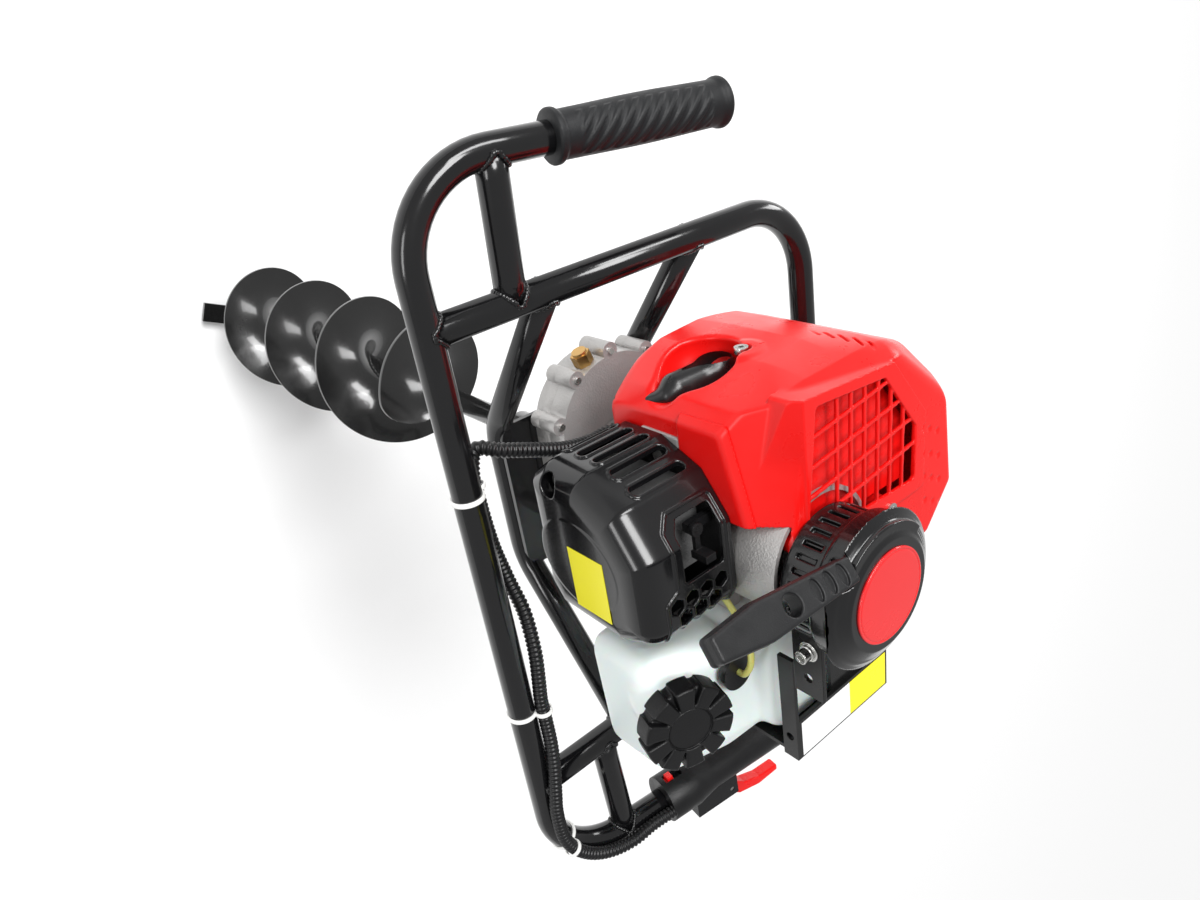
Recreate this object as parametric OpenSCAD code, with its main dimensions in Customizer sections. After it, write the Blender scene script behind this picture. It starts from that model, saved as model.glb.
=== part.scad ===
/* [Frame] */
// Outer diameter of the frame tubes
tube_d = 19; // [16:1:22]
// Wall thickness of the frame tubes
tube_wall = 1.8; // [1.2:0.2:3]
// Half the distance between the two handle arms
handle_half = 260; // [240:5:300]
// Distance of the handlebar's cross tube behind the drill axis
base_back = 155; // [140:5:180]
// How far the handle arms rise from the hoop plane
handle_rise = 7.9; // [0:0.1:15]
// How far each handle arm leans in towards the middle
handle_lean = 1.4; // [0:0.1:4]
// Bend radius of the handlebar's two corners
handle_bend = 56; // [40:2:90]
// Half the width of the guard hoop
hoop_half = 172; // [160:2:190]
// Distance of the hoop's front run ahead of the drill axis
hoop_front = 160; // [130:2:170]
// Bend radius of the hoop's two corners
hoop_bend = 56; // [35:1:70]
// Height of the hoop plane above the tip of the bit
hoop_z = 840; // [790:1:850]

/* [Engine cradle] */
// Distance of the rear cradle tube behind the drill axis
rear_cradle_back = 73; // [65:1:80]
// Distance of the front cradle tube ahead of the drill axis
front_cradle_front = 51; // [48:1:60]
// Depth of the cradle tubes' flat middle below the hoop plane
cradle_drop = 95; // [90:1:110]
// Thickness of the gearbox mounting plate
plate_t = 4; // [3:0.5:6]

/* [Bit] */
// Diameter that the bit bores
bit_d = 150; // [100:10:200]
// Rise of the flight in one turn
bit_pitch = 150; // [100:10:200]
// Diameter of the bit's shaft
bit_shaft_d = 20; // [18:1:26]
// Thickness of the flight's sheet
flight_t = 4; // [3:0.5:6]
// Number of turns of the flight
flight_turns = 3.5; // [2:0.25:3.5]

/* [Gearbox] */
// Radius of the gearbox's two end lobes
lobe_r = 53; // [51:1:56]
// Gear tooth module
tooth_m = 1.5; // [1.5:0.5:1.5]
// Teeth on both pinions
pinion_teeth = 10; // [10:1:10]
// Teeth on both wheels
wheel_teeth = 52; // [52:1:52]
// Diameter of the output shaft
output_d = 20; // [18:1:22]

/* [Engine] */
// Outer radius of the recoil starter's drum
starter_r = 46; // [45:1:50]
// Height of the starter's face above the hoop plane
starter_face = 190; // [184:1:194]
// Diameter of the fuel tank's cap
cap_d = 61; // [50:1:64]
// Diameter of the corrugated cable conduit
conduit_d = 10; // [8:1:12]

/* [Hidden] */
$fn = 48;

black_paint = [0.08, 0.08, 0.09];
black_rubber = [0.16, 0.16, 0.17];
red_plastic = [0.88, 0.07, 0.07];
alloy = [0.72, 0.72, 0.74];
steel = [0.6, 0.61, 0.63];
zinc = [0.8, 0.8, 0.82];

tube_r = tube_d / 2;
bore_d = tube_d - 2 * tube_wall;
// Heights of the engine stack, measured from the hoop plane
plate_top = -cradle_drop + tube_r + plate_t;
case_split = plate_top + 18;
gearbox_top = plate_top + 36;
clutch_top = gearbox_top + 40;
fan_floor = 95;
fan_top = 138;
cover_face = 142;
// Lobe centres of the gearbox casing
layshaft_lobe = [-42, 3];
output_lobe = [6, 3];
// Distance between the drill axis and the layshaft
centre_distance = tooth_m * (pinion_teeth + wheel_teeth) / 2;
cyl_z = 50;
// The flight starts just above the cutting blade, on this side
flight_z0 = 15.1;
flight_phase = 100;
blade_z0 = 9;
blade_side = 245;

function unit(v) = v / norm(v);
function turn_of(a, b, c) = acos(min(1, unit(b - a) * unit(c - b)));
function tangent_of(a, b, c, r) = r * tan(turn_of(a, b, c) / 2);
function polar(r, a) = [r * cos(a), r * sin(a)];

// Straight bar or pipe between two points; its section is given as children
module between(p, q) {
    v = q - p;
    translate(p)
        rotate([0, acos(v[2] / norm(v)), atan2(v[1], v[0])])
            linear_extrude(height = norm(v))
                children();
}

module rod(p, q, d) {
    between(p, q) circle(d = d);
}

module tube_section() {
    difference() {
        circle(d = tube_d);
        circle(d = bore_d);
    }
}

// Tube along a flat path in the XY plane, with a bend of radius r at each inner corner
module bent_tube(path, r) {
    last = len(path) - 1;
    for (i = [0 : last - 1]) {
        u = unit(path[i + 1] - path[i]);
        from_cut = i == 0 ? 0 : tangent_of(path[i - 1], path[i], path[i + 1], r);
        to_cut = i == last - 1 ? 0 : tangent_of(path[i], path[i + 1], path[i + 2], r);
        p = path[i] + u * from_cut;
        q = path[i + 1] - u * to_cut;
        between([p[0], p[1], 0], [q[0], q[1], 0]) tube_section();
    }
    for (i = [1 : last - 1]) {
        a = path[i - 1];
        b = path[i];
        c = path[i + 1];
        u = unit(b - a);
        w = unit(c - b);
        side = u[0] * w[1] - u[1] * w[0] > 0 ? 1 : -1;
        start = b - u * tangent_of(a, b, c, r);
        centre = start + side * r * [-u[1], u[0]];
        angle = atan2(start[1] - centre[1], start[0] - centre[0]);
        swing = turn_of(a, b, c);
        translate([centre[0], centre[1], 0])
            rotate([0, 0, side > 0 ? angle : angle - swing])
                rotate_extrude(angle = swing)
                    translate([r, 0])
                        tube_section();
    }
}

// Tube swept along a list of points; each ring is square to the path
module swept_tube(points, d, sides, up) {
    last = len(points) - 1;
    along = [for (i = [0 : last])
        unit(unit(points[min(last, i + 1)] - points[min(last - 1, i)])
            + unit(points[max(1, i)] - points[max(0, i - 1)]))];
    rings = [for (i = [0 : last])
        let (e = unit(cross(along[i], up)), f = cross(along[i], e))
            for (k = [0 : sides - 1])
                points[i] + d / 2 * (cos(k * 360 / sides) * e + sin(k * 360 / sides) * f)];
    walls = [for (i = [0 : last - 1]) for (k = [0 : sides - 1])
        let (a = i * sides + k, b = i * sides + (k + 1) % sides)
            for (t = [[b, a, b + sides], [b + sides, a, a + sides]]) t];
    ends = [[for (k = [0 : sides - 1]) k], [for (k = [0 : sides - 1]) last * sides + sides - 1 - k]];
    polyhedron(points = rings, faces = concat(walls, ends), convexity = 8);
}

bend_steps = 8;

function corner_arc(a, b, c, r) =
    let (u = unit(b - a), w = unit(c - b), swing = turn_of(a, b, c),
        side = u[0] * w[1] - u[1] * w[0] > 0 ? 1 : -1,
        start = b - u * tangent_of(a, b, c, r),
        centre = start + side * r * [-u[1], u[0]],
        first = atan2(start[1] - centre[1], start[0] - centre[0]))
    [for (k = [0 : bend_steps]) centre + polar(r, first + side * swing * k / bend_steps)];

// Flat path with its inner corners rounded, lengthened by the given amount at both ends
function rounded_path(path, r, more) =
    let (last = len(path) - 1,
        arcs = [for (i = [1 : last - 1]) corner_arc(path[i - 1], path[i], path[i + 1], r)],
        flat = concat([path[0] - more * unit(path[1] - path[0])], [for (arc = arcs) for (p = arc) p],
            [path[last] + more * unit(path[last] - path[last - 1])]))
    [for (p = flat) [p[0], p[1], 0]];

// Pipe along a flat path, drawn as rings square to the path
module bent_pipe(path, r) {
    difference() {
        swept_tube(rounded_path(path, r, 0), tube_d, 24, [0, 0, 1]);
        swept_tube(rounded_path(path, r, 1), bore_d, 16, [0, 0, 1]);
    }
}

// Box with its edges along Z rounded
module round_box(size, r) {
    translate([r, 0, 0]) cube([size[0] - 2 * r, size[1], size[2]]);
    translate([0, r, 0]) cube([size[0], size[1] - 2 * r, size[2]]);
    for (x = [r, size[0] - r])
        for (y = [r, size[1] - r])
            translate([x, y, 0]) cylinder(r = r, h = size[2]);
}

// Round-headed screw with its head's outer face at z = 0 and its shank below
module screw(d, head_d, head_h, length) {
    difference() {
        translate([0, 0, -head_h]) cylinder(d = head_d, h = head_h);
        translate([0, 0, -head_h * 0.55]) cylinder(d = d * 0.8, h = head_h, $fn = 6);
    }
    translate([0, 0, -head_h - length]) cylinder(d = d, h = length);
}

/* ---- frame ---- */

handle_length = 214;
handle_path = [
    [-handle_half + handle_length * sin(handle_lean), handle_length * cos(handle_lean)],
    [-handle_half, 0],
    [handle_half, 0],
    [handle_half - handle_length * sin(handle_lean), handle_length * cos(handle_lean)]];

module in_handle_plane() {
    translate([0, -base_back, hoop_z]) rotate([handle_rise, 0, 0]) children();
}

// Frame whose +Z runs forward along one handle arm, with z = 0 at the arm's corner
module on_arm(side) {
    in_handle_plane()
        translate([side * handle_half, 0, 0])
            rotate([-90, 0, side * handle_lean])
                children();
}

module base_run_cutter() {
    translate([-handle_half, -base_back, hoop_z])
        rotate([0, 90, 0])
            cylinder(d = tube_d, h = 2 * handle_half);
}

module handlebar_tube() {
    color(black_paint)
        in_handle_plane()
            bent_pipe(handle_path, handle_bend);
}

module guard_hoop() {
    color(black_paint)
        difference() {
            translate([0, 0, hoop_z])
                bent_tube([[-hoop_half, -base_back], [-hoop_half, hoop_front],
                    [hoop_half, hoop_front], [hoop_half, -base_back]], hoop_bend);
            base_run_cutter();
        }
}

module hoop_arm_cutters() {
    for (x = [-hoop_half, hoop_half])
        translate([x, -base_back, hoop_z])
            rotate([-90, 0, 0])
                cylinder(d = tube_d, h = base_back + hoop_front - hoop_bend);
}

module cradle_tube(y) {
    color(black_paint)
        difference() {
            translate([0, y, hoop_z])
                rotate([90, 0, 0])
                    bent_pipe([[-hoop_half, 0], [-56, -cradle_drop],
                        [56, -cradle_drop], [hoop_half, 0]], 44);
            hoop_arm_cutters();
        }
}

module rear_cradle_tube() {
    cradle_tube(-rear_cradle_back);
}

module front_cradle_tube() {
    cradle_tube(front_cradle_front);
}

brace_y = -97;

module side_braces() {
    rise = (brace_y + base_back) * tan(handle_rise);
    reach = handle_half - (brace_y + base_back) * tan(handle_lean);
    color(black_paint)
        for (side = [-1, 1])
            difference() {
                rod([side * hoop_half, brace_y, hoop_z], [side * reach, brace_y, hoop_z + rise], tube_d);
                hoop_arm_cutters();
                on_arm(side) cylinder(d = tube_d, h = handle_length);
            }
}

plate_bolts = [[-42, -34], [38, -30], [-42, 38], [38, 34]];

module mounting_plate() {
    color(black_paint)
        translate([0, 0, hoop_z + plate_top - plate_t])
            difference() {
                translate([-60, -rear_cradle_back - 6, 0])
                    round_box([120, rear_cradle_back + front_cradle_front + 12, plate_t], 12);
                translate([0, 0, -1]) cylinder(r = 27.5, h = plate_t + 2);
                for (p = plate_bolts)
                    translate([p[0], p[1], -1]) cylinder(d = 6.5, h = plate_t + 2);
            }
}

/* ---- controls ---- */

grip_start = 95;
grip_length = 122;

module left_grip() {
    color(black_rubber)
        on_arm(-1)
            difference() {
                union() {
                    translate([0, 0, grip_start]) cylinder(d = 31, h = 6);
                    translate([0, 0, grip_start + 6]) cylinder(d = 28, h = grip_length - 12);
                    translate([0, 0, grip_start + grip_length - 6]) cylinder(d = 30, h = 6);
                }
                translate([0, 0, grip_start - 1]) cylinder(d = tube_d, h = handle_length - grip_start + 1);
            }
}

throttle_start = 92;
pivot_z = 158;
pivot_out = 27;

// Housing clamped on the right arm; its +X side faces outboard
module throttle_housing() {
    color(black_rubber)
        on_arm(1)
            difference() {
                union() {
                    translate([0, 0, throttle_start + 4]) cylinder(d = 38, h = 26);
                    translate([0, 0, throttle_start + 30]) cylinder(d1 = 38, d2 = 31, h = 20);
                    translate([0, 0, throttle_start + 50]) cylinder(d = 31, h = 76);
                    translate([10, -9, throttle_start + 30]) cube([24, 18, 42]);
                }
                translate([0, 0, throttle_start - 1]) cylinder(d = tube_d, h = handle_length - throttle_start + 1);
                // pocket that the trigger swings in
                translate([17, -5.5, pivot_z - 13]) cube([30, 11, 60]);
                translate([pivot_out, -20, pivot_z]) rotate([-90, 0, 0]) cylinder(d = 4, h = 40);
                // window of the stop switch
                translate([-20, -4, throttle_start + 8.5]) cube([7, 8, 16]);
            }
}

module trigger_pin() {
    color(steel)
        on_arm(1)
            translate([pivot_out, -8.5, pivot_z])
                rotate([-90, 0, 0])
                    cylinder(d = 4, h = 17);
}

module throttle_trigger() {
    color(red_plastic)
        on_arm(1)
            translate([pivot_out, 5, pivot_z])
                rotate([90, 0, 0])
                    difference() {
                        linear_extrude(height = 10)
                            union() {
                                circle(r = 6.5);
                                polygon([[-4, 3], [5, -4], [16, 10], [20, 30], [17, 52], [12, 52], [12, 32], [7, 16]]);
                            }
                        translate([0, 0, -1]) cylinder(d = 4.1, h = 12);
                    }
}

module stop_switch() {
    color(red_plastic)
        on_arm(1) {
            translate([-16, -3.6, throttle_start + 9]) cube([2.6, 7.2, 8]);
            translate([-21, -3.2, throttle_start + 10.5]) cube([5, 6.4, 5]);
        }
}

// Point beside the handlebar's cross tube: angle a turns from the front towards the top
function beside(x, a, d) = [x, -base_back + d * cos(a), d * sin(a)];

// Point on top of the handlebar's right corner, and on top of the right arm
corner_centre = [handle_half - tangent_of([0, 0], [handle_half, 0],
    [handle_half - sin(handle_lean), cos(handle_lean)], handle_bend), handle_bend];
function on_top(p) = [p[0], -base_back + p[1] * cos(handle_rise), p[1] * sin(handle_rise) + beside_d];
function over_corner(a) = on_top(corner_centre + polar(handle_bend, a));
function over_arm(z) = on_top([handle_half - z * sin(handle_lean), z * cos(handle_lean)]);

// Route of the throttle cable's conduit: carburettor, round the cross tube, over the right corner, housing
beside_d = tube_r + conduit_d / 2 + 0.4;
conduit_route = [[-63, -33, 36], [-63, -33, 18], [-63, -34, 0], [-61, -42, -7], [-62, -56, -5], [-68, -80, -2],
    [-78, -104, -1], [-86, -124, -3], beside(-90, 330, 21), beside(-76, 320, beside_d),
    beside(-60, 320, beside_d), beside(-40, 322, beside_d + 0.3), beside(-20, 328, beside_d + 0.6),
    beside(4, 342, 17), beside(28, 5, 18.5), beside(54, 28, 18), beside(76, 38, 16.5),
    beside(94, 42, beside_d), beside(112, 42, beside_d), beside(132, 50, beside_d + 0.5),
    beside(152, 64, beside_d + 0.5), beside(172, 80, beside_d + 0.3), beside(190, 90, beside_d + 0.2),
    over_corner(-80), over_corner(-60), over_corner(-40), over_corner(-20), over_corner(0), over_arm(75),
    over_arm(95.9)];
route_steps = 3;
route_last = len(conduit_route) - 1;

// Point on the smooth curve through the route's points
function route_p(i) = conduit_route[max(0, min(route_last, i))];
function spline(i, t) = 0.5 * (2 * route_p(i) + t * (route_p(i + 1) - route_p(i - 1))
    + t * t * (2 * route_p(i - 1) - 5 * route_p(i) + 4 * route_p(i + 1) - route_p(i + 2))
    + t * t * t * (3 * route_p(i) - route_p(i - 1) - 3 * route_p(i + 1) + route_p(i + 2)));
route_curve = concat([for (i = [0 : route_last - 1]) for (s = [0 : route_steps - 1]) spline(i, s / route_steps)],
    [conduit_route[route_last]]);

module throttle_conduit() {
    color(black_rubber)
        translate([0, 0, hoop_z])
            swept_tube(route_curve, conduit_d, 10, [0.13, 0.21, 1]);
}

// Tie round the tube and the conduit, which lies at the given place beside it
module tie_ring(reach) {
    linear_extrude(height = 3, center = true)
        difference() {
            union() {
                circle(r = tube_r + 1.2);
                translate(reach) circle(r = conduit_d / 2 + 1.6);
            }
            circle(r = tube_r);
            translate(reach) circle(r = conduit_d / 2 + 0.5);
        }
}

module cable_ties() {
    color("white") {
        translate([-68, -base_back, hoop_z]) rotate([90, 0, 90]) tie_ring(polar(beside_d, 320));
        translate([103, -base_back, hoop_z]) rotate([90, 0, 90]) tie_ring(polar(beside_d, 42));
        in_handle_plane()
            translate([corner_centre[0], corner_centre[1], 0])
                rotate([0, 0, -60])
                    translate([handle_bend, 0, 0])
                        rotate([90, 0, 0])
                            tie_ring([0, beside_d]);
    }
}

/* ---- gearbox ---- */

module stadium(r) {
    translate(layshaft_lobe) circle(r = r);
    translate(output_lobe) circle(r = r);
    translate([layshaft_lobe[0], layshaft_lobe[1] - r])
        square([output_lobe[0] - layshaft_lobe[0], 2 * r]);
}

boss_points = concat(
    [for (a = [108 : 36 : 252]) layshaft_lobe + polar(lobe_r + 3, a)],
    [for (a = [-72 : 36 : 72]) output_lobe + polar(lobe_r + 3, a)]);
// The bolts' bosses start above the casing's plain foot
boss_z = plate_top + 8;

module casing_outline() {
    stadium(lobe_r);
    for (p = boss_points)
        translate(p) circle(r = 6.5);
}

// The front cradle tube's bend and leg beside the layshaft lobe
module cradle_rods(d) {
    rod([-36, front_cradle_front, -cradle_drop], [-41, front_cradle_front, -cradle_drop], d);
    rod([-40.3, front_cradle_front, -cradle_drop], [-68.1, front_cradle_front, -cradle_drop + 9.9], d);
    rod([-67, front_cradle_front, -cradle_drop + 9], [-120, front_cradle_front, -cradle_drop + 52.4], d);
}

module gearbox_case() {
    color(alloy)
        translate([0, 0, hoop_z])
            difference() {
                union() {
                    translate([0, 0, plate_top]) linear_extrude(height = 8) stadium(lobe_r - 1);
                    translate([0, 0, boss_z]) linear_extrude(height = case_split - boss_z) casing_outline();
                    translate([0, 0, plate_top - 14]) cylinder(r = 27, h = 14);
                }
                difference() {
                    translate([0, 0, plate_top + 4])
                        linear_extrude(height = 40) stadium(lobe_r - 4);
                    cradle_rods(tube_d + 6);
                }
                // saddle over the front cradle tube
                cradle_rods(tube_d + 0.4);
                translate([0, 0, plate_top - 12]) cylinder(r = 21, h = 20);
                translate([0, 0, plate_top - 20]) cylinder(r = 13, h = 30);
                translate([-centre_distance, 0, plate_top + 1]) cylinder(d = 10.06, h = 10);
                for (p = boss_points)
                    translate([p[0], p[1], plate_top - 1]) cylinder(d = 5, h = 40);
                for (p = plate_bolts)
                    translate([p[0], p[1], plate_top - 1]) cylinder(d = 5, h = 3);
            }
}

module gearbox_cover() {
    color(alloy)
        translate([0, 0, hoop_z])
            difference() {
                translate([0, 0, case_split])
                    linear_extrude(height = gearbox_top - case_split) casing_outline();
                translate([0, 0, case_split - 1])
                    linear_extrude(height = gearbox_top - case_split - 4) stadium(lobe_r - 4);
                translate([0, 0, case_split]) cylinder(d = 28, h = 30);
                translate([-centre_distance, 0, gearbox_top - 6]) cylinder(d = 10.06, h = 3);
                for (p = boss_points)
                    translate([p[0], p[1], case_split - 1]) cylinder(d = 5, h = 40);
                // filler hole of the oil plug
                translate([layshaft_lobe[0] - lobe_r * cos(18) - 6, layshaft_lobe[1] - lobe_r * sin(18), case_split + 7])
                    rotate([0, 90, 18])
                        cylinder(d = 8, h = 20);
            }
}

module gearbox_bolts() {
    color(zinc)
        translate([0, 0, hoop_z]) {
            for (p = boss_points)
                translate([p[0], p[1], boss_z - 3.5]) {
                    cylinder(d = 7.5, h = 3.5);
                    cylinder(d = 5, h = gearbox_top - boss_z + 5.5);
                }
            for (p = plate_bolts)
                translate([p[0], p[1], plate_top - plate_t - 4]) {
                    cylinder(d = 10, h = 4, $fn = 6);
                    cylinder(d = 5, h = plate_t + 5.5);
                }
        }
}

module oil_plug() {
    color("goldenrod")
        translate([layshaft_lobe[0] - lobe_r * cos(18), layshaft_lobe[1] - lobe_r * sin(18), hoop_z + case_split + 7])
            rotate([0, -90, 18]) {
                cylinder(d = 15, h = 9, $fn = 6);
                translate([0, 0, 9]) cylinder(d = 11, h = 2);
                translate([0, 0, -3.5]) cylinder(d = 8, h = 4);
            }
}

module gearbox_bearings() {
    color(steel)
        translate([0, 0, hoop_z]) {
            translate([0, 0, plate_top - 12])
                difference() {
                    cylinder(r = 21, h = 12);
                    translate([0, 0, -1]) cylinder(d = output_d + 0.06, h = 20);
                }
            translate([0, 0, gearbox_top - 7])
                difference() {
                    cylinder(d = 28, h = 7);
                    translate([0, 0, -1]) cylinder(d = 10.06, h = 20);
                }
        }
}

// Spur gear: straight-flanked teeth with running backlash
module spur(teeth, thickness, phase) {
    pitch_r = tooth_m * teeth / 2;
    tip_r = pitch_r + tooth_m * 0.8;
    root_r = pitch_r - tooth_m * 1.15;
    root_half = 62 / teeth;
    tip_half = 24 / teeth;
    linear_extrude(height = thickness)
        polygon([for (i = [0 : teeth - 1])
            let (a = i * 360 / teeth + phase)
                for (p = [[root_r, -root_half * 1.2], [root_r, -root_half], [tip_r, -tip_half],
                        [tip_r, tip_half], [root_r, root_half]])
                    polar(p[0], a + p[1])]);
}

wheel_z = plate_top + 6;
upper_z = plate_top + 21;
// Turning both pinions by half a tooth sets them in mesh
half_tooth = 180 / pinion_teeth;

module output_gear() {
    color(steel)
        translate([0, 0, hoop_z + wheel_z])
            difference() {
                spur(wheel_teeth, 9, 0);
                translate([0, 0, -1]) cylinder(d = output_d, h = 12);
            }
}

module output_shaft() {
    color(steel)
        translate([0, 0, hoop_z]) {
            difference() {
                translate([0, 0, plate_top - 44]) cylinder(d = output_d, h = 44 + 16);
                translate([0, 0, plate_top - 44 - 1]) cylinder(d = 12, h = 26);
                translate([-20, 0, plate_top - 34]) rotate([0, 90, 0]) cylinder(d = 8, h = 40);
            }
        }
}

module layshaft_gears() {
    color(steel)
        translate([-centre_distance, 0, hoop_z]) {
            translate([0, 0, plate_top + 1.3]) cylinder(d = 10, h = gearbox_top - plate_top - 5);
            translate([0, 0, wheel_z]) spur(pinion_teeth, 9, half_tooth);
            translate([0, 0, upper_z]) spur(wheel_teeth, 7, 0);
        }
}

module clutch_drum() {
    color(steel)
        translate([0, 0, hoop_z]) {
            translate([0, 0, upper_z]) spur(pinion_teeth, 6.5, half_tooth);
            translate([0, 0, upper_z]) cylinder(d = 10, h = gearbox_top + 8 - upper_z);
            translate([0, 0, gearbox_top + 5])
                difference() {
                    cylinder(r = 39, h = 26);
                    translate([0, 0, 3]) cylinder(r = 36, h = 26);
                }
        }
}

/* ---- engine ---- */

module clutch_housing() {
    color(alloy)
        translate([0, 0, hoop_z + gearbox_top])
            difference() {
                cylinder(r = 47, h = clutch_top - gearbox_top);
                translate([0, 0, -1]) cylinder(r = 41.5, h = 36);
                translate([0, 0, 30]) cylinder(d = 24, h = 20);
            }
}

module clutch_shoes() {
    color(steel)
        translate([0, 0, hoop_z + gearbox_top + 10])
            difference() {
                cylinder(r = 34.5, h = 16);
                translate([0, 0, -1]) cylinder(d = 14, h = 20);
                for (a = [0, 60, 120])
                    rotate([0, 0, a])
                        translate([-40, -2, -1]) cube([80, 4, 7]);
            }
}

crank_end = 150;

module crankshaft() {
    color(steel)
        translate([0, 0, hoop_z]) {
            translate([0, 0, gearbox_top + 10]) cylinder(d = 14, h = 25);
            translate([0, 0, gearbox_top + 35]) cylinder(d = 15, h = 116 - gearbox_top - 35);
            translate([0, 0, 116]) cylinder(d = 10, h = crank_end - 116);
            for (z = [28, 54])
                translate([0, 0, z]) cylinder(r = 24, h = 14);
        }
}

module flywheel() {
    color(alloy)
        translate([0, 0, hoop_z + 100])
            difference() {
                union() {
                    cylinder(r = 39, h = 6);
                    cylinder(r = 17, h = 22);
                    for (k = [0 : 11])
                        rotate([0, 0, k * 30])
                            translate([22, -1, 5]) cube([16, 2, 19]);
                }
                translate([0, 0, -1]) cylinder(d = 15, h = 17);
                cylinder(d = 10, h = 30);
            }
}

module crankcase() {
    color(alloy)
        translate([0, 0, hoop_z])
            difference() {
                union() {
                    translate([0, 0, clutch_top]) cylinder(r = 38, h = fan_floor - clutch_top);
                    translate([-42, -26, cyl_z - 28]) cube([42, 54, 56]);
                    translate([0, 0, fan_floor - 4]) cylinder(r = 44.5, h = fan_top - fan_floor + 4);
                    // feet that carry the fuel tank
                    translate([30, -22, 14]) cube([30, 12, 60]);
                    translate([30, 16, 14]) cube([30, 12, 60]);
                }
                translate([0, 0, 24]) cylinder(r = 26, h = 48);
                translate([-60, 0, cyl_z]) rotate([0, 90, 0]) cylinder(r = 19.5, h = 40);
                translate([0, 0, fan_floor]) cylinder(r = 41.5, h = 60);
                translate([0, 0, clutch_top - 1]) cylinder(d = 15.06, h = 120);
            }
}

head_x = -80;
deck_x = -42;

module cylinder_block() {
    color(alloy)
        translate([0, 0, hoop_z + cyl_z])
            difference() {
                union() {
                    translate([head_x, 0, 0]) rotate([0, 90, 0]) cylinder(r = 24, h = deck_x - head_x);
                    for (x = [head_x : 6 : deck_x - 9])
                        translate([x, -24, -36]) cube([2, 56, 72]);
                    translate([deck_x - 6, -24, -28]) cube([6, 50, 56]);
                    translate([head_x - 4, -12, -12]) cube([8, 24, 24]);
                }
                translate([head_x + 8, 0, 0]) rotate([0, 90, 0]) cylinder(r = 18, h = 60);
                translate([head_x - 5, 0, 0]) rotate([0, 90, 0]) cylinder(d = 10, h = 20);
            }
}

module piston() {
    color(steel)
        translate([0, 0, hoop_z + cyl_z]) {
            translate([head_x + 12, 0, 0]) rotate([0, 90, 0]) cylinder(r = 17.9, h = 24);
            translate([head_x + 36, -4, -5]) cube([17, 8, 10]);
        }
}

module spark_plug() {
    color("ivory")
        translate([head_x + 3, 0, hoop_z + cyl_z])
            rotate([0, -90, 0]) {
                cylinder(d = 10, h = 7);
                translate([0, 0, 7]) cylinder(d = 15, h = 3.8, $fn = 6);
                translate([0, 0, 10.8]) cylinder(d = 6, h = 8);
            }
}

// Rubber cap that lies over the plug, its lead leaving towards the front
module spark_plug_cap() {
    color(black_rubber)
        difference() {
            translate([-97.5, -30, hoop_z + cyl_z])
                union() {
                    rotate([-90, 0, 0]) cylinder(r = 9.4, h = 44);
                    sphere(r = 9.4);
                }
            translate([-98, 0, hoop_z + cyl_z]) rotate([0, 90, 0]) cylinder(d = 6, h = 30);
        }
}

module ignition_coil() {
    color(black_paint)
        translate([-62.5, -14, hoop_z + 100]) cube([18, 30, 24]);
}

module muffler() {
    color(steel)
        translate([-88, 40, hoop_z + 16]) {
            cube([70, 48, 70]);
            translate([20, -7.5, 22]) cube([30, 7.5, 26]);
            translate([30, 48, 50]) rotate([-90, 0, 0]) cylinder(d = 14, h = 6);
        }
}

// Top cover: side outline, cut by a profile that slopes its crown
cover_outline = [[-30, -43], [-90, -43], [-103, -34], [-116, 4], [-116, 40], [-108, 76], [-94, 104], [-70, 122],
    [8, 134], [38, 108], [36, 96], [2, 66], [-8, 52], [-14, -18]];
cover_profile = [[-98, 4], [-108, 14], [-116, 40], [-116, 98], [-110, 126], [-102, cover_face],
    [60, cover_face], [60, 4]];
cover_wall = 3;

module cover_block(shrink, drop) {
    centre = [-50, 25];
    intersection() {
        translate([0, 0, 4 - drop])
            linear_extrude(height = cover_face - 4 - shrink + drop)
                translate(centre) scale(1 - shrink / 65) translate(-centre)
                    polygon(cover_outline);
        translate([shrink, 200, 0])
            rotate([90, 0, 0])
                linear_extrude(height = 400)
                    polygon(cover_profile);
    }
}

module top_cover() {
    color(red_plastic)
        translate([0, 0, hoop_z])
            difference() {
                cover_block(0, 0);
                difference() {
                    cover_block(cover_wall, 5);
                    translate([-200, -200, 0]) cube([400, 400, 7]);
                }
                // open underside, where the cover drops over the engine
                translate([-34, -62, 0]) cube([100, 120, cover_face - cover_wall]);
                translate([-90, -39, 0]) cube([80, 129, 12]);
                // recess round the spark plug's cap
                translate([-140, -48, 34]) cube([56, 68, 34]);
                // opening that the carburettor reaches through
                translate([-84, -50, 34]) cube([42, 14, 38]);
                // cooling slots beside the crown
                for (k = [0 : 4])
                    translate([-140, 92 - 3 * k, 112 - 14 * k]) cube([60, 3, 8]);
                // grille openings
                for (i = [0 : 5])
                    for (j = [0 : 3])
                        translate([-96 + 18.5 * j, -6 + 13.5 * i + 1.5 * j, cover_face - 5]) cube([14, 9.5, 8]);
            }
}

/* ---- intake ---- */

filter_back = -45;
filter_z0 = 5;
filter_z1 = 108;
filter_outline = [[-80, 22], [-68, 5], [10, 5], [28, 18], [30, 80], [20, 104], [12, 108], [-38, 108], [-66, 88],
    [-80, 56]];

module carburettor() {
    color(alloy)
        translate([-80, -45, hoop_z + 36]) cube([34, 20.9, 34]);
}

module filter_block(from_y, to_y, shrink) {
    centre = [-32, 56];
    translate([0, -from_y, hoop_z])
        rotate([90, 0, 0])
            linear_extrude(height = to_y - from_y)
                translate(centre) scale(1 - shrink / 45) translate(-centre)
                    polygon(filter_outline);
}

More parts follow.
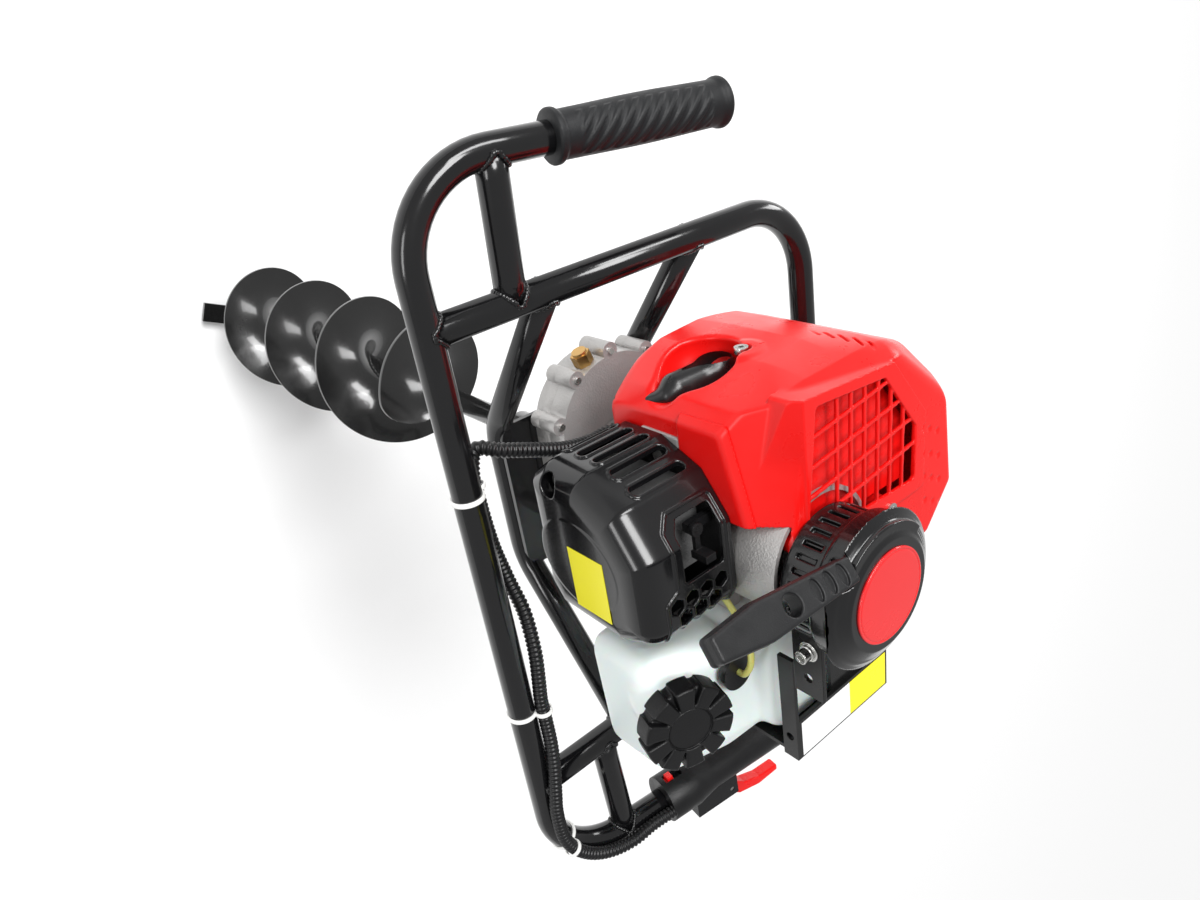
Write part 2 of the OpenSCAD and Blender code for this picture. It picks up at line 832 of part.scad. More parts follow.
module air_filter_base() {
    color(black_paint)
        difference() {
            union() {
                filter_block(45, 49, 3.2);
                translate([-41, -69, hoop_z + 92]) cube([6, 21, 5]);
                translate([choke_pivot[0], choke_pivot[1], hoop_z + 96]) cylinder(d = 3, h = 6);
            }
            translate([-64, -60, hoop_z + 52]) rotate([-90, 0, 0]) cylinder(d = 16, h = 30);
        }
}

module air_filter_element() {
    color("gray")
        translate([-58, -86, hoop_z + 22]) cube([56, 37, 62]);
}

module air_filter_cover() {
    color(black_paint)
        difference() {
            union() {
                filter_block(-filter_back, 100, 0);
                filter_block(100, 112, 5);
                filter_block(112, 119, 12);
            }
            filter_block(-filter_back - 1, 97, 3);
            filter_block(96, 110, 20);
            // slots along the crown
            for (k = [0 : 4])
                translate([-95, -94, hoop_z + 18 + 15 * k]) cube([50, 44, 6]);
            // hexagonal windows low on the side
            for (i = [0 : 3])
                for (j = [0 : 2])
                    translate([-18 + 9 * j, -58 - 10.5 * i - 5 * (j % 2), hoop_z + 100])
                        cylinder(d = 8, h = 12, $fn = 6);
            // opening for the choke lever
            translate([-43, -80, hoop_z + 100]) cube([27, 28, 12]);
            // seat and hole of the cover's screw
            translate([-68, -100, hoop_z + 30]) rotate([90, 0, 0]) cylinder(d = 20, h = 30);
            translate([-68, -90, hoop_z + 30]) rotate([90, 0, 0]) cylinder(d = 5, h = 30);
        }
}

module filter_cover_screw() {
    color(zinc)
        translate([-68, -100, hoop_z + 30])
            rotate([90, 0, 0])
                difference() {
                    union() {
                        cylinder(d = 14, h = 1.5);
                        translate([0, 0, 1.5]) cylinder(d = 11, h = 2);
                        translate([0, 0, 3.5]) cylinder(d = 9, h = 6);
                        translate([0, 0, -50]) cylinder(d = 5, h = 50);
                    }
                    translate([0, 0, 6]) cylinder(d = 4.5, h = 5, $fn = 6);
                }
}

choke_pivot = [-38, -66, 98];

module choke_lever() {
    color(black_rubber)
        translate([choke_pivot[0], choke_pivot[1], hoop_z + choke_pivot[2]])
            difference() {
                union() {
                    cylinder(r = 4.5, h = 4);
                    translate([0, -2, 0]) cube([18, 4, 3]);
                    translate([13.5, -4, 0]) cube([5, 8, 13]);
                }
                translate([0, 0, -1]) cylinder(d = 3.1, h = 8);
            }
}

/* ---- fuel tank ---- */

cap_place = [82, -99, 101];
cap_tilt = 16;

module tank_ball(p, r) {
    translate(p) sphere(r = r, $fn = 24);
}

module tank_shape(r) {
    hull() {
        for (p = [[62, -97, 40], [126, -97, 44], [60, -97, 72], [128, -95, 80], [132, -54, 52],
                [134, -54, 86], [78, -32, 30], [72, -54, 92], [80, -32, 92], [122, -32, 96]])
            tank_ball(p, r);
    }
    hull() {
        for (x = [74, 122])
            for (y = [-22, 34])
                for (z = [34, 112])
                    tank_ball([x, y, z], r);
    }
}

module fuel_tank() {
    color("whitesmoke")
        translate([0, 0, hoop_z]) {
            difference() {
                tank_shape(14);
                tank_shape(11.5);
                translate(cap_place) rotate([cap_tilt, 0, 0]) translate([0, 0, -26]) cylinder(d = 43, h = 60);
            }
            translate(cap_place) rotate([cap_tilt, 0, 0]) translate([0, 0, -26])
                difference() {
                    cylinder(d = 44, h = 32);
                    translate([0, 0, -1]) cylinder(d = 38, h = 40);
                }
        }
}

module tank_cap() {
    color(black_rubber)
        translate([0, 0, hoop_z])
            translate(cap_place)
                rotate([cap_tilt, 0, 0]) {
                    difference() {
                        cylinder(d = cap_d, h = 12);
                        translate([0, 0, -1]) cylinder(d = 44.8, h = 9);
                    }
                    for (k = [0 : 9])
                        rotate([0, 0, k * 36])
                            translate([10, -4, 12]) cube([cap_d / 2 - 12, 8, 4]);
                    translate([0, 0, 12]) cylinder(d = 26, h = 4);
                }
}

grommet_place = [72, -54, 106];

module tank_grommet() {
    color(black_rubber)
        translate([grommet_place[0], grommet_place[1], hoop_z + grommet_place[2]])
            cylinder(d = 26, h = 5);
}

module fuel_lines() {
    color("khaki")
        translate([0, 0, hoop_z])
            swept_tube([[72, -54, 111], [70, -54, 117], [60, -51, 120], [45, -46, 113], [35, -42, 98], [22, -41.5, 84],
                [8, -41.5, 74], [-8, -41, 66], [-24, -39, 60], [-36, -36, 56], [-46, -35, 54]], 4.5, 8,
                [0.13, 0.21, 1]);
}

/* ---- recoil starter ---- */

starter_back = 143.5;
pulley_z = starter_face - 21;
// The pull handle's rest: its wide end, and how far it leans from straight back
handle_rest = [-31.2, -34];
handle_turn = -6.2;
// The handle lies tilted about its own length
handle_tilt = 40;
handle_top = 188;
// The drum's shell sits a little off the crank's axis
starter_shift = [4, -5];

module at_handle() {
    translate([handle_rest[0], handle_rest[1], handle_top])
        rotate([0, -handle_tilt, handle_turn])
            children();
}

module starter_housing() {
    color(black_paint)
        translate([0, 0, hoop_z])
            difference() {
                translate([starter_shift[0], starter_shift[1], 0])
                    difference() {
                        union() {
                            translate([0, 0, starter_back])
                                cylinder(r = starter_r - 4, h = starter_face - starter_back - 22);
                            translate([0, 0, starter_face - 23]) cylinder(r = starter_r, h = 16);
                            translate([0, 0, starter_face - 7]) cylinder(r1 = starter_r, r2 = starter_r - 12, h = 6);
                            // skirt that reaches the fan housing beside the cover
                            intersection() {
                                translate([0, 0, fan_top]) cylinder(r = starter_r - 4, h = starter_back - fan_top + 1);
                                translate([-2, -60, fan_top]) cube([70, 120, 10]);
                            }
                        }
                        translate([0, 0, fan_top - 1]) cylinder(r = starter_r - 8, h = starter_face - 24 - fan_top);
                    }
                translate([0, 0, starter_face - 26]) cylinder(r = 34.5, h = 22);
                // notch for the pull handle and the hole for its rope
                at_handle() translate([-9, -60, -12.5]) cube([18, 60.6, 50]);
                translate([handle_rest[0] + 3, handle_rest[1] + 20, starter_face - 12])
                    rotate([90, 0, 0])
                        cylinder(d = 5, h = 40);
            }
    // post that the pulley turns on
    color(black_paint)
        translate([0, 0, hoop_z + pulley_z - 1])
            cylinder(d = 14, h = 18);
}

module starter_pulley() {
    color(black_rubber)
        translate([0, 0, hoop_z + pulley_z])
            difference() {
                union() {
                    cylinder(r = 33, h = 3);
                    translate([0, 0, 2.9]) cylinder(r = 27, h = 6.2);
                    translate([0, 0, 9]) cylinder(r = 33, h = 3);
                }
                translate([0, 0, -1]) cylinder(d = 14.1, h = 20);
            }
}

module recoil_spring() {
    color(steel)
        translate([0, 0, hoop_z + starter_face - 8])
            difference() {
                cylinder(r = 28, h = 4);
                translate([0, 0, -1]) cylinder(r = 7, h = 10);
            }
}

module starter_badge() {
    color(red_plastic)
        translate([starter_shift[0], starter_shift[1], hoop_z + starter_face - 1]) cylinder(r = 30, h = 1);
}

// Flat tapered grip with a through hole and three finger dimples
module pull_handle() {
    color(black_rubber)
        translate([0, 0, hoop_z])
            at_handle()
                difference() {
                    translate([0, 0, -11])
                        linear_extrude(height = 11)
                            polygon([[-7.5, 0], [-10.9, -72], [-7, -106.5], [7, -106.5], [10.9, -72], [7.5, 0]]);
                    translate([0, -51.6, -20]) cylinder(d = 12, h = 30);
                    for (k = [0 : 2])
                        translate([0, -10.6 - 10.8 * k, -1.5]) scale([1.9, 1, 1]) cylinder(d = 6.4, h = 4);
                }
}

/* ---- brackets and screws ---- */

module tank_guard_bracket() {
    color(black_paint)
        translate([0, 0, hoop_z])
            difference() {
                union() {
                    translate([112, -33, 137]) cube([32, 95, 3]);
                    translate([141, -33, 60]) cube([3, 95, 78]);
                    translate([60, -36, 128]) cube([84, 3, 12]);
                    translate([60, 59, 100]) cube([84, 3, 40]);
                    // strap to the fan housing
                    translate([34, 4, 134]) cube([80, 30, 3]);
                }
                cylinder(r = 44.5, h = 200);
                translate([126, -20, 134]) rotate([90, 0, 0]) cylinder(d = 6, h = 30);
            }
}

module support_bracket() {
    color(black_paint)
        translate([0, 0, hoop_z])
            difference() {
                translate([20, -39, 144]) cube([56, 3, 22]);
                translate([starter_shift[0], starter_shift[1], 0]) cylinder(r = starter_r - 4, h = 300);
                translate([62, -30, 155]) rotate([90, 0, 0]) cylinder(d = 6, h = 20);
            }
}

module engine_screws() {
    color(zinc)
        translate([0, 0, hoop_z]) {
            translate([-4, 62, cover_face + 4]) screw(5, 9, 4, 8);
            translate([-21, -23, cover_face + 4]) screw(5, 9, 4, 8);
            translate([-116, 12, 74]) rotate([0, -90, 0]) translate([0, 0, 4]) screw(5, 9, 4, 2);
        }
}

/* ---- bit ---- */

shaft_top = hoop_z + plate_top - 46;

module auger_shaft() {
    color(black_paint)
        difference() {
            union() {
                translate([0, 0, blade_z0 + 6]) cylinder(d = bit_shaft_d, h = shaft_top - blade_z0 - 50);
                translate([0, 0, shaft_top - 60]) cylinder(d = 30, h = 91);
            }
            translate([0, 0, shaft_top - 10]) cylinder(d = output_d, h = 60);
            translate([-30, 0, hoop_z + plate_top - 34]) rotate([0, 90, 0]) cylinder(d = 8, h = 60);
        }
}

flight_steps = 36;

module auger_flight() {
    count = flight_turns * flight_steps;
    inner = bit_shaft_d / 2 - 1;
    outer = bit_d / 2;
    // The flight's top corner is rounded off
    trims = [30, 13, 5, 1];
    sections = [for (i = [0 : count])
        let (a = flight_phase + i * 360 / flight_steps, z = flight_z0 + i * bit_pitch / flight_steps,
            rim = i > count - 4 ? outer - trims[count - i] : outer)
            for (p = [[inner, 0], [rim, 0], [rim, flight_t], [inner, flight_t]])
                [p[0] * cos(a), p[0] * sin(a), z + p[1]]];
    walls = [for (i = [0 : count - 1]) for (k = [0 : 3])
        let (a = i * 4 + k, b = i * 4 + (k + 1) % 4)
            for (t = [[a + 4, a, b + 4], [b + 4, a, b]]) t];
    color(black_paint)
        polyhedron(points = sections, faces = concat([[3, 2, 1, 0]], walls,
            [[for (k = [0 : 3]) count * 4 + k]]), convexity = 8);
}

module cutting_blade() {
    color(steel)
        rotate([0, 0, blade_side]) {
            translate([-82, -12.5, blade_z0]) cube([164, 25, 6]);
            // pilot point
            translate([-3, 0, 0])
                rotate([90, 0, 90])
                    linear_extrude(height = 6)
                        polygon([[-12, blade_z0 + 1], [12, blade_z0 + 1], [0, 0]]);
        }
}

module coupling_bolt() {
    color(zinc)
        translate([-20, 0, hoop_z + plate_top - 34])
            rotate([0, 90, 0]) {
                cylinder(d = 8, h = 40);
                cylinder(d = 13, h = 5, $fn = 6);
                translate([0, 0, 35]) cylinder(d = 13, h = 6, $fn = 6);
            }
}

handlebar_tube();
guard_hoop();
rear_cradle_tube();
front_cradle_tube();
side_braces();
mounting_plate();
left_grip();
throttle_housing();
throttle_trigger();
trigger_pin();
stop_switch();
throttle_conduit();
cable_ties();
gearbox_case();
gearbox_cover();
gearbox_bolts();
oil_plug();
gearbox_bearings();
output_shaft();
output_gear();
layshaft_gears();
clutch_drum();
clutch_housing();
clutch_shoes();
crankshaft();
flywheel();
crankcase();
cylinder_block();
piston();
spark_plug();
spark_plug_cap();
ignition_coil();
muffler();
top_cover();
carburettor();
air_filter_base();
air_filter_element();
air_filter_cover();
filter_cover_screw();
choke_lever();
fuel_tank();
tank_cap();
tank_grommet();
fuel_lines();
starter_housing();
starter_pulley();
recoil_spring();
pull_handle();
starter_badge();
tank_guard_bracket();
support_bracket();
engine_screws();
auger_shaft();
auger_flight();
cutting_blade();
coupling_bolt();
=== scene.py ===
import math
import bpy
import numpy as np
from mathutils import Matrix, Vector


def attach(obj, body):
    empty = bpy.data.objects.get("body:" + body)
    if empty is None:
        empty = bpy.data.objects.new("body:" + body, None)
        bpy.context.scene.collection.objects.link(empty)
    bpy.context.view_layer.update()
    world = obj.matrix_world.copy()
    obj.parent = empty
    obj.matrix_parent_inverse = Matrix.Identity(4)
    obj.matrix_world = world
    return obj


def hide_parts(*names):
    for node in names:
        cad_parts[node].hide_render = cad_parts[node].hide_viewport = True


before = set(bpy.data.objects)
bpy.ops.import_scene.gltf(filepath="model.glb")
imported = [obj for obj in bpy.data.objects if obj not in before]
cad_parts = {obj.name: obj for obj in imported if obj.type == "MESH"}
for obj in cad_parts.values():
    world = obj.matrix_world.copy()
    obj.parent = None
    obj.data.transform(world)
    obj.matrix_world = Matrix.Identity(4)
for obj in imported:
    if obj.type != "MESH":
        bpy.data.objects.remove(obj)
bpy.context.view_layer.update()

MM = 0.001
HOOP_Z = 840.0          # height of the guard hoop's plane above the bit's tip, mm
TUBE_R = 9.5
RISE = math.radians(7.9)
LEAN = math.radians(1.4)
HANDLE_HALF, BASE_BACK, BEND = 260.0, 155.0, 56.0
HANDLE_LENGTH = 214.0
HOOP_HALF, HOOP_FRONT = 172.0, 160.0

# ---------------------------------------------------------------- materials


def new_material(name):
    m = bpy.data.materials.new(name)
    m.use_nodes = True
    return m, m.node_tree.nodes, m.node_tree.links, m.node_tree.nodes["Principled BSDF"]


def material(name, color, rough, rough_var=0.06, metallic=0.0, scale=180.0, bump=0.05, color_var=0.12,
             grain=0.0, coat=0.0, subsurface=0.0, specular=None, alpha=None, stretch=None):
    """Principled surface whose colour, roughness and bump vary with noise in object space."""
    m, nodes, links, bsdf = new_material(name)
    bsdf.inputs["Metallic"].default_value = metallic
    if coat:
        bsdf.inputs["Coat Weight"].default_value = coat
        bsdf.inputs["Coat Roughness"].default_value = 0.06
    if subsurface:
        bsdf.inputs["Subsurface Weight"].default_value = subsurface
        bsdf.inputs["Subsurface Scale"].default_value = 0.012
    if specular is not None:
        bsdf.inputs["Specular IOR Level"].default_value = specular
    co = nodes.new("ShaderNodeTexCoord")
    place = co.outputs["Object"]
    if stretch:
        mapping = nodes.new("ShaderNodeMapping")
        mapping.inputs["Scale"].default_value = stretch
        links.new(place, mapping.inputs["Vector"])
        place = mapping.outputs["Vector"]
    broad = nodes.new("ShaderNodeTexNoise")
    broad.inputs["Scale"].default_value = scale * 0.12
    broad.inputs["Detail"].default_value = 4
    links.new(place, broad.inputs["Vector"])
    fine = nodes.new("ShaderNodeTexNoise")
    fine.inputs["Scale"].default_value = scale
    fine.inputs["Detail"].default_value = 6
    links.new(place, fine.inputs["Vector"])
    ramp = nodes.new("ShaderNodeMapRange")
    ramp.inputs["From Min"].default_value = 0.3
    ramp.inputs["From Max"].default_value = 0.7
    ramp.inputs["To Min"].default_value = max(0.02, rough - rough_var)
    ramp.inputs["To Max"].default_value = min(1.0, rough + rough_var)
    links.new(broad.outputs["Fac"], ramp.inputs["Value"])
    links.new(ramp.outputs["Result"], bsdf.inputs["Roughness"])
    mix = nodes.new("ShaderNodeMix")
    mix.data_type = "RGBA"
    lighter = [min(1.0, c * (1 + color_var)) for c in color]
    darker = [c * (1 - color_var) for c in color]
    mix.inputs[6].default_value = (*darker, 1)
    mix.inputs[7].default_value = (*lighter, 1)
    links.new(broad.outputs["Fac"], mix.inputs[0])
    links.new(mix.outputs[2], bsdf.inputs["Base Color"])
    height = fine.outputs["Fac"]
    if grain:
        cells = nodes.new("ShaderNodeTexVoronoi")
        cells.inputs["Scale"].default_value = grain
        links.new(place, cells.inputs["Vector"])
        add = nodes.new("ShaderNodeMath")
        add.operation = "ADD"
        links.new(cells.outputs["Distance"], add.inputs[0])
        links.new(fine.outputs["Fac"], add.inputs[1])
        height = add.outputs[0]
    b = nodes.new("ShaderNodeBump")
    b.inputs["Strength"].default_value = bump
    b.inputs["Distance"].default_value = 0.0006
    links.new(height, b.inputs["Height"])
    links.new(b.outputs["Normal"], bsdf.inputs["Normal"])
    return m


def face_tint(m, z, color):
    """Paints faces that point up at height z (row frame, metres) as machined metal of another tone."""
    nodes, links = m.node_tree.nodes, m.node_tree.links
    bsdf = nodes["Principled BSDF"]
    old = bsdf.inputs["Base Color"].links[0].from_socket
    co = nodes.new("ShaderNodeTexCoord")
    sep = nodes.new("ShaderNodeSeparateXYZ")
    links.new(co.outputs["Object"], sep.inputs[0])
    above = nodes.new("ShaderNodeMath")
    above.operation = "GREATER_THAN"
    above.inputs[1].default_value = z
    links.new(sep.outputs["Z"], above.inputs[0])
    mix = nodes.new("ShaderNodeMix")
    mix.data_type = "RGBA"
    mix.inputs[7].default_value = (*color, 1)
    links.new(old, mix.inputs[6])
    links.new(above.outputs[0], mix.inputs[0])
    links.new(mix.outputs[2], bsdf.inputs["Base Color"])


MAT = {
    "frame_paint": material("frame_paint", (0.0045, 0.0045, 0.005), 0.16, 0.05, scale=260, bump=0.05,
                            coat=0.3,
                            specular=0.4),
    "bit_paint": material("bit_paint", (0.007, 0.007, 0.007), 0.20, 0.08, scale=200, bump=0.10, coat=0.4),
    "grip_rubber": material("grip_rubber", (0.008, 0.0085, 0.0095), 0.5, 0.06, scale=900, bump=0.18,
                            grain=1500,
                            specular=0.3),
    "black_plastic": material("black_plastic", (0.006, 0.006, 0.0065), 0.40, 0.06, scale=700, bump=0.14,
                              grain=1300,
                              specular=0.3),
    "gloss_black_plastic": material("gloss_black_plastic", (0.004, 0.004, 0.0045), 0.19, 0.05, scale=120,
                                    bump=0.03, coat=0.2, specular=0.45),
    "handle_plastic": material("handle_plastic", (0.011, 0.0112, 0.012), 0.44, 0.06, scale=700, bump=0.14,
                               grain=1300, specular=0.3),
    "red_plastic": material("red_plastic", (0.74, 0.006, 0.005), 0.30, 0.05, scale=300, bump=0.06,
                            color_var=0.05,
                            subsurface=0.05, specular=0.35),
    "cast_alloy": material("cast_alloy", (0.44, 0.43, 0.42), 0.42, 0.10, metallic=0.55, scale=420, bump=0.35,
                           grain=700),
    "steel": material("steel", (0.42, 0.41, 0.40), 0.34, 0.08, metallic=1.0, scale=300, bump=0.08,
                      stretch=(1, 1, 8)),
    "zinc": material("zinc", (0.66, 0.66, 0.64), 0.24, 0.08, metallic=1.0, scale=400, bump=0.10),
    "brass": material("brass", (0.55, 0.34, 0.12), 0.34, 0.08, metallic=1.0, scale=400, bump=0.10),
    "tank_plastic": material("tank_plastic", (0.86, 0.86, 0.84), 0.34, 0.05, scale=90, bump=0.05,
                             color_var=0.03,
                             subsurface=0.35),
    "nylon": material("nylon", (0.85, 0.85, 0.83), 0.40, 0.05, scale=300, bump=0.06, color_var=0.04),
    "ceramic": material("ceramic", (0.85, 0.83, 0.78), 0.12, 0.04, scale=100, bump=0.02, color_var=0.03),
    "conduit_plastic": material("conduit_plastic", (0.006, 0.006, 0.0065), 0.34, 0.06, scale=300,
                                bump=0.08, specular=0.35),
    "filter_felt": material("filter_felt", (0.10, 0.10, 0.10), 0.9, 0.06, scale=900, bump=0.6, grain=900),
    "fuel_hose": material("fuel_hose", (0.50, 0.50, 0.14), 0.30, 0.05, scale=200, bump=0.04, subsurface=0.2),
    "boot_rubber": material("boot_rubber", (0.0075, 0.0075, 0.008), 0.30, 0.06, scale=500, bump=0.10),
    "sheet_steel": material("sheet_steel", (0.006, 0.006, 0.006), 0.30, 0.07, scale=300, bump=0.08,
                            specular=0.35),
    "label_white": material("label_white", (0.86, 0.86, 0.86), 0.30, 0.04, scale=300, bump=0.02,
                            color_var=0.02),
    "label_yellow": material("label_yellow", (0.86, 0.78, 0.015), 0.30, 0.04, scale=300, bump=0.02,
                             color_var=0.03),
    "badge_red": material("badge_red", (0.70, 0.010, 0.012), 0.24, 0.05, scale=200, bump=0.03, color_var=0.06,
                          coat=0.4),
}
machined = material("cast_alloy_machined", (0.44, 0.43, 0.42), 0.42, 0.10, metallic=0.55, scale=420,
                    bump=0.30,
                    grain=700)
face_tint(machined, 0.7942, (0.40, 0.385, 0.38))

# ---------------------------------------------------------------- mesh helpers


def put(name, verts, faces, mat, body, smooth=True):
    me = bpy.data.meshes.new(name)
    me.from_pydata([tuple(v) for v in verts], [], [tuple(f) for f in faces])
    me.validate()
    me.polygons.foreach_set("use_smooth", [smooth] * len(me.polygons))
    me.update()
    o = bpy.data.objects.new(name, me)
    bpy.context.scene.collection.objects.link(o)
    me.materials.append(MAT[mat] if isinstance(mat, str) else mat)
    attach(o, body)
    return o


def sharp_by_angle(o, angle=35):
    """Marks edges sharper than the angle, so that smooth shading stops there."""
    me = o.data
    import bmesh
    b = bmesh.new()
    b.from_mesh(me)
    for e in b.edges:
        e.smooth = not (len(e.link_faces) == 2 and e.calc_face_angle(0) > math.radians(angle))
    b.to_mesh(me)
    b.free()


def frame_along(points, up, closed=False):
    """Tangents and two side vectors at each point of a path."""
    p = np.asarray(points, float)
    if closed:
        t = np.roll(p, -1, 0) - np.roll(p, 1, 0)
    else:
        t = np.gradient(p, axis=0)
    t /= np.linalg.norm(t, axis=1)[:, None]
    e = np.cross(t, np.asarray(up, float))
    e /= np.linalg.norm(e, axis=1)[:, None]
    return p, t, e, np.cross(t, e)


def pipe(name, points, radius, mat, body, sides=40, up=(0.13, 0.21, 1), closed=False, caps=True):
    """Tube along a path in mm; radius is a number or one number per point."""
    p, _, e, f = frame_along(points, up, closed)
    r = np.broadcast_to(np.asarray(radius, float), (len(p),))
    a = np.arange(sides) * 2 * np.pi / sides
    ring = (p[:, None, :] + r[:, None, None] * (np.cos(a)[None, :, None] * e[:, None, :]
                                                + np.sin(a)[None, :, None] * f[:, None, :]))
    n = len(p)
    faces = []
    for i in range(n if closed else n - 1):
        j = (i + 1) % n
        for k in range(sides):
            m = (k + 1) % sides
            faces.append((i * sides + k, i * sides + m, j * sides + m, j * sides + k))
    if caps and not closed:
        faces.append(tuple(reversed(range(sides))))
        faces.append(tuple((n - 1) * sides + k for k in range(sides)))
    return put(name, ring.reshape(-1, 3) * MM, faces, mat, body)


def rounded(points, radius, steps=14):
    """Polyline with its inner corners rounded, in mm."""
    p = [np.asarray(q, float) for q in points]
    out = [p[0]]
    for a, b, c in zip(p, p[1:], p[2:]):
        u, w = (a - b) / np.linalg.norm(a - b), (c - b) / np.linalg.norm(c - b)
        half = math.acos(max(-1, min(1, float(u @ w)))) / 2
        reach = radius / math.tan(half)
        mid = (u + w) / np.linalg.norm(u + w)
        centre = b + mid * radius / math.sin(half)
        s, e = b + u * reach - centre, b + w * reach - centre
        swing = math.pi - 2 * half
        for k in range(steps + 1):
            x = k / steps
            out.append(centre + (math.sin((1 - x) * swing) * s + math.sin(x * swing) * e) / math.sin(swing))
    out.append(p[-1])
    return out


# ---------------------------------------------------------------- solids from distance fields


def length(v):
    return np.sqrt((v * v).sum(-1))


def f_box(p, centre, half, r=0.0):
    q = np.abs(p - np.asarray(centre, np.float32)) - (np.asarray(half, np.float32) - r)
    return length(np.maximum(q, 0)) + np.minimum(q.max(-1), 0) - r


def f_capsule(p, a, b, r):
    a, b = np.asarray(a, np.float32), np.asarray(b, np.float32)
    w, e = p - a, b - a
    t = np.clip((w @ e) / (e @ e), 0, 1)
    return length(w - t[:, None] * e) - r


def f_cyl(p, a, b, r, edge=0.0):
    """Cylinder from a to b, its edges rounded."""
    a, b = np.asarray(a, np.float32), np.asarray(b, np.float32)
    e = b - a
    h = float(np.linalg.norm(e))
    e = e / h
    w = p - a
    t = w @ e
    d = np.stack([length(w - t[:, None] * e) - (r - edge), np.abs(t - h / 2) - (h / 2 - edge)], -1)
    return length(np.maximum(d, 0)) + np.minimum(d.max(-1), 0) - edge


def f_poly(x, y, pts):
    """Signed distance to a flat polygon."""
    pts = np.asarray(pts, np.float32)
    best = np.full(x.shape, 1e9, np.float32)
    inside = np.zeros(x.shape, bool)
    for (ax, ay), (bx, by) in zip(pts, np.roll(pts, -1, 0)):
        ex, ey, wx, wy = bx - ax, by - ay, x - ax, y - ay
        t = np.clip((wx * ex + wy * ey) / (ex * ex + ey * ey), 0, 1)
        best = np.minimum(best, (wx - t * ex) ** 2 + (wy - t * ey) ** 2)
        cross = (ay > y) != (by > y)
        if ey:
            inside ^= cross & (x < ax + (y - ay) * ex / ey)
    return np.where(inside, -1, 1) * np.sqrt(best)


def inset(pts, r):
    p = np.asarray(pts, float)
    area = (p[:, 0] * np.roll(p[:, 1], -1) - np.roll(p[:, 0], -1) * p[:, 1]).sum()
    side = 1 if area > 0 else -1
    out = []
    for a, b, c in zip(np.roll(p, 1, 0), p, np.roll(p, -1, 0)):
        u, w = (b - a) / np.linalg.norm(b - a), (c - b) / np.linalg.norm(c - b)
        nu, nw = side * np.array([-u[1], u[0]]), side * np.array([-w[1], w[0]])
        m = nu + nw
        out.append(b + m * r * 2 / (m @ m))
    return out


def f_round_poly(x, y, pts, r):
    return f_poly(x, y, inset(pts, r)) - r


def smin(a, b, k):
    h = np.clip(0.5 + 0.5 * (b - a) / k, 0, 1)
    return b + (a - b) * h - k * h * (1 - h)


def smax(a, b, k):
    return -smin(-a, -b, k)


def cut(a, b, k=0.0):
    return smax(a, -b, k) if k else np.maximum(a, -b)


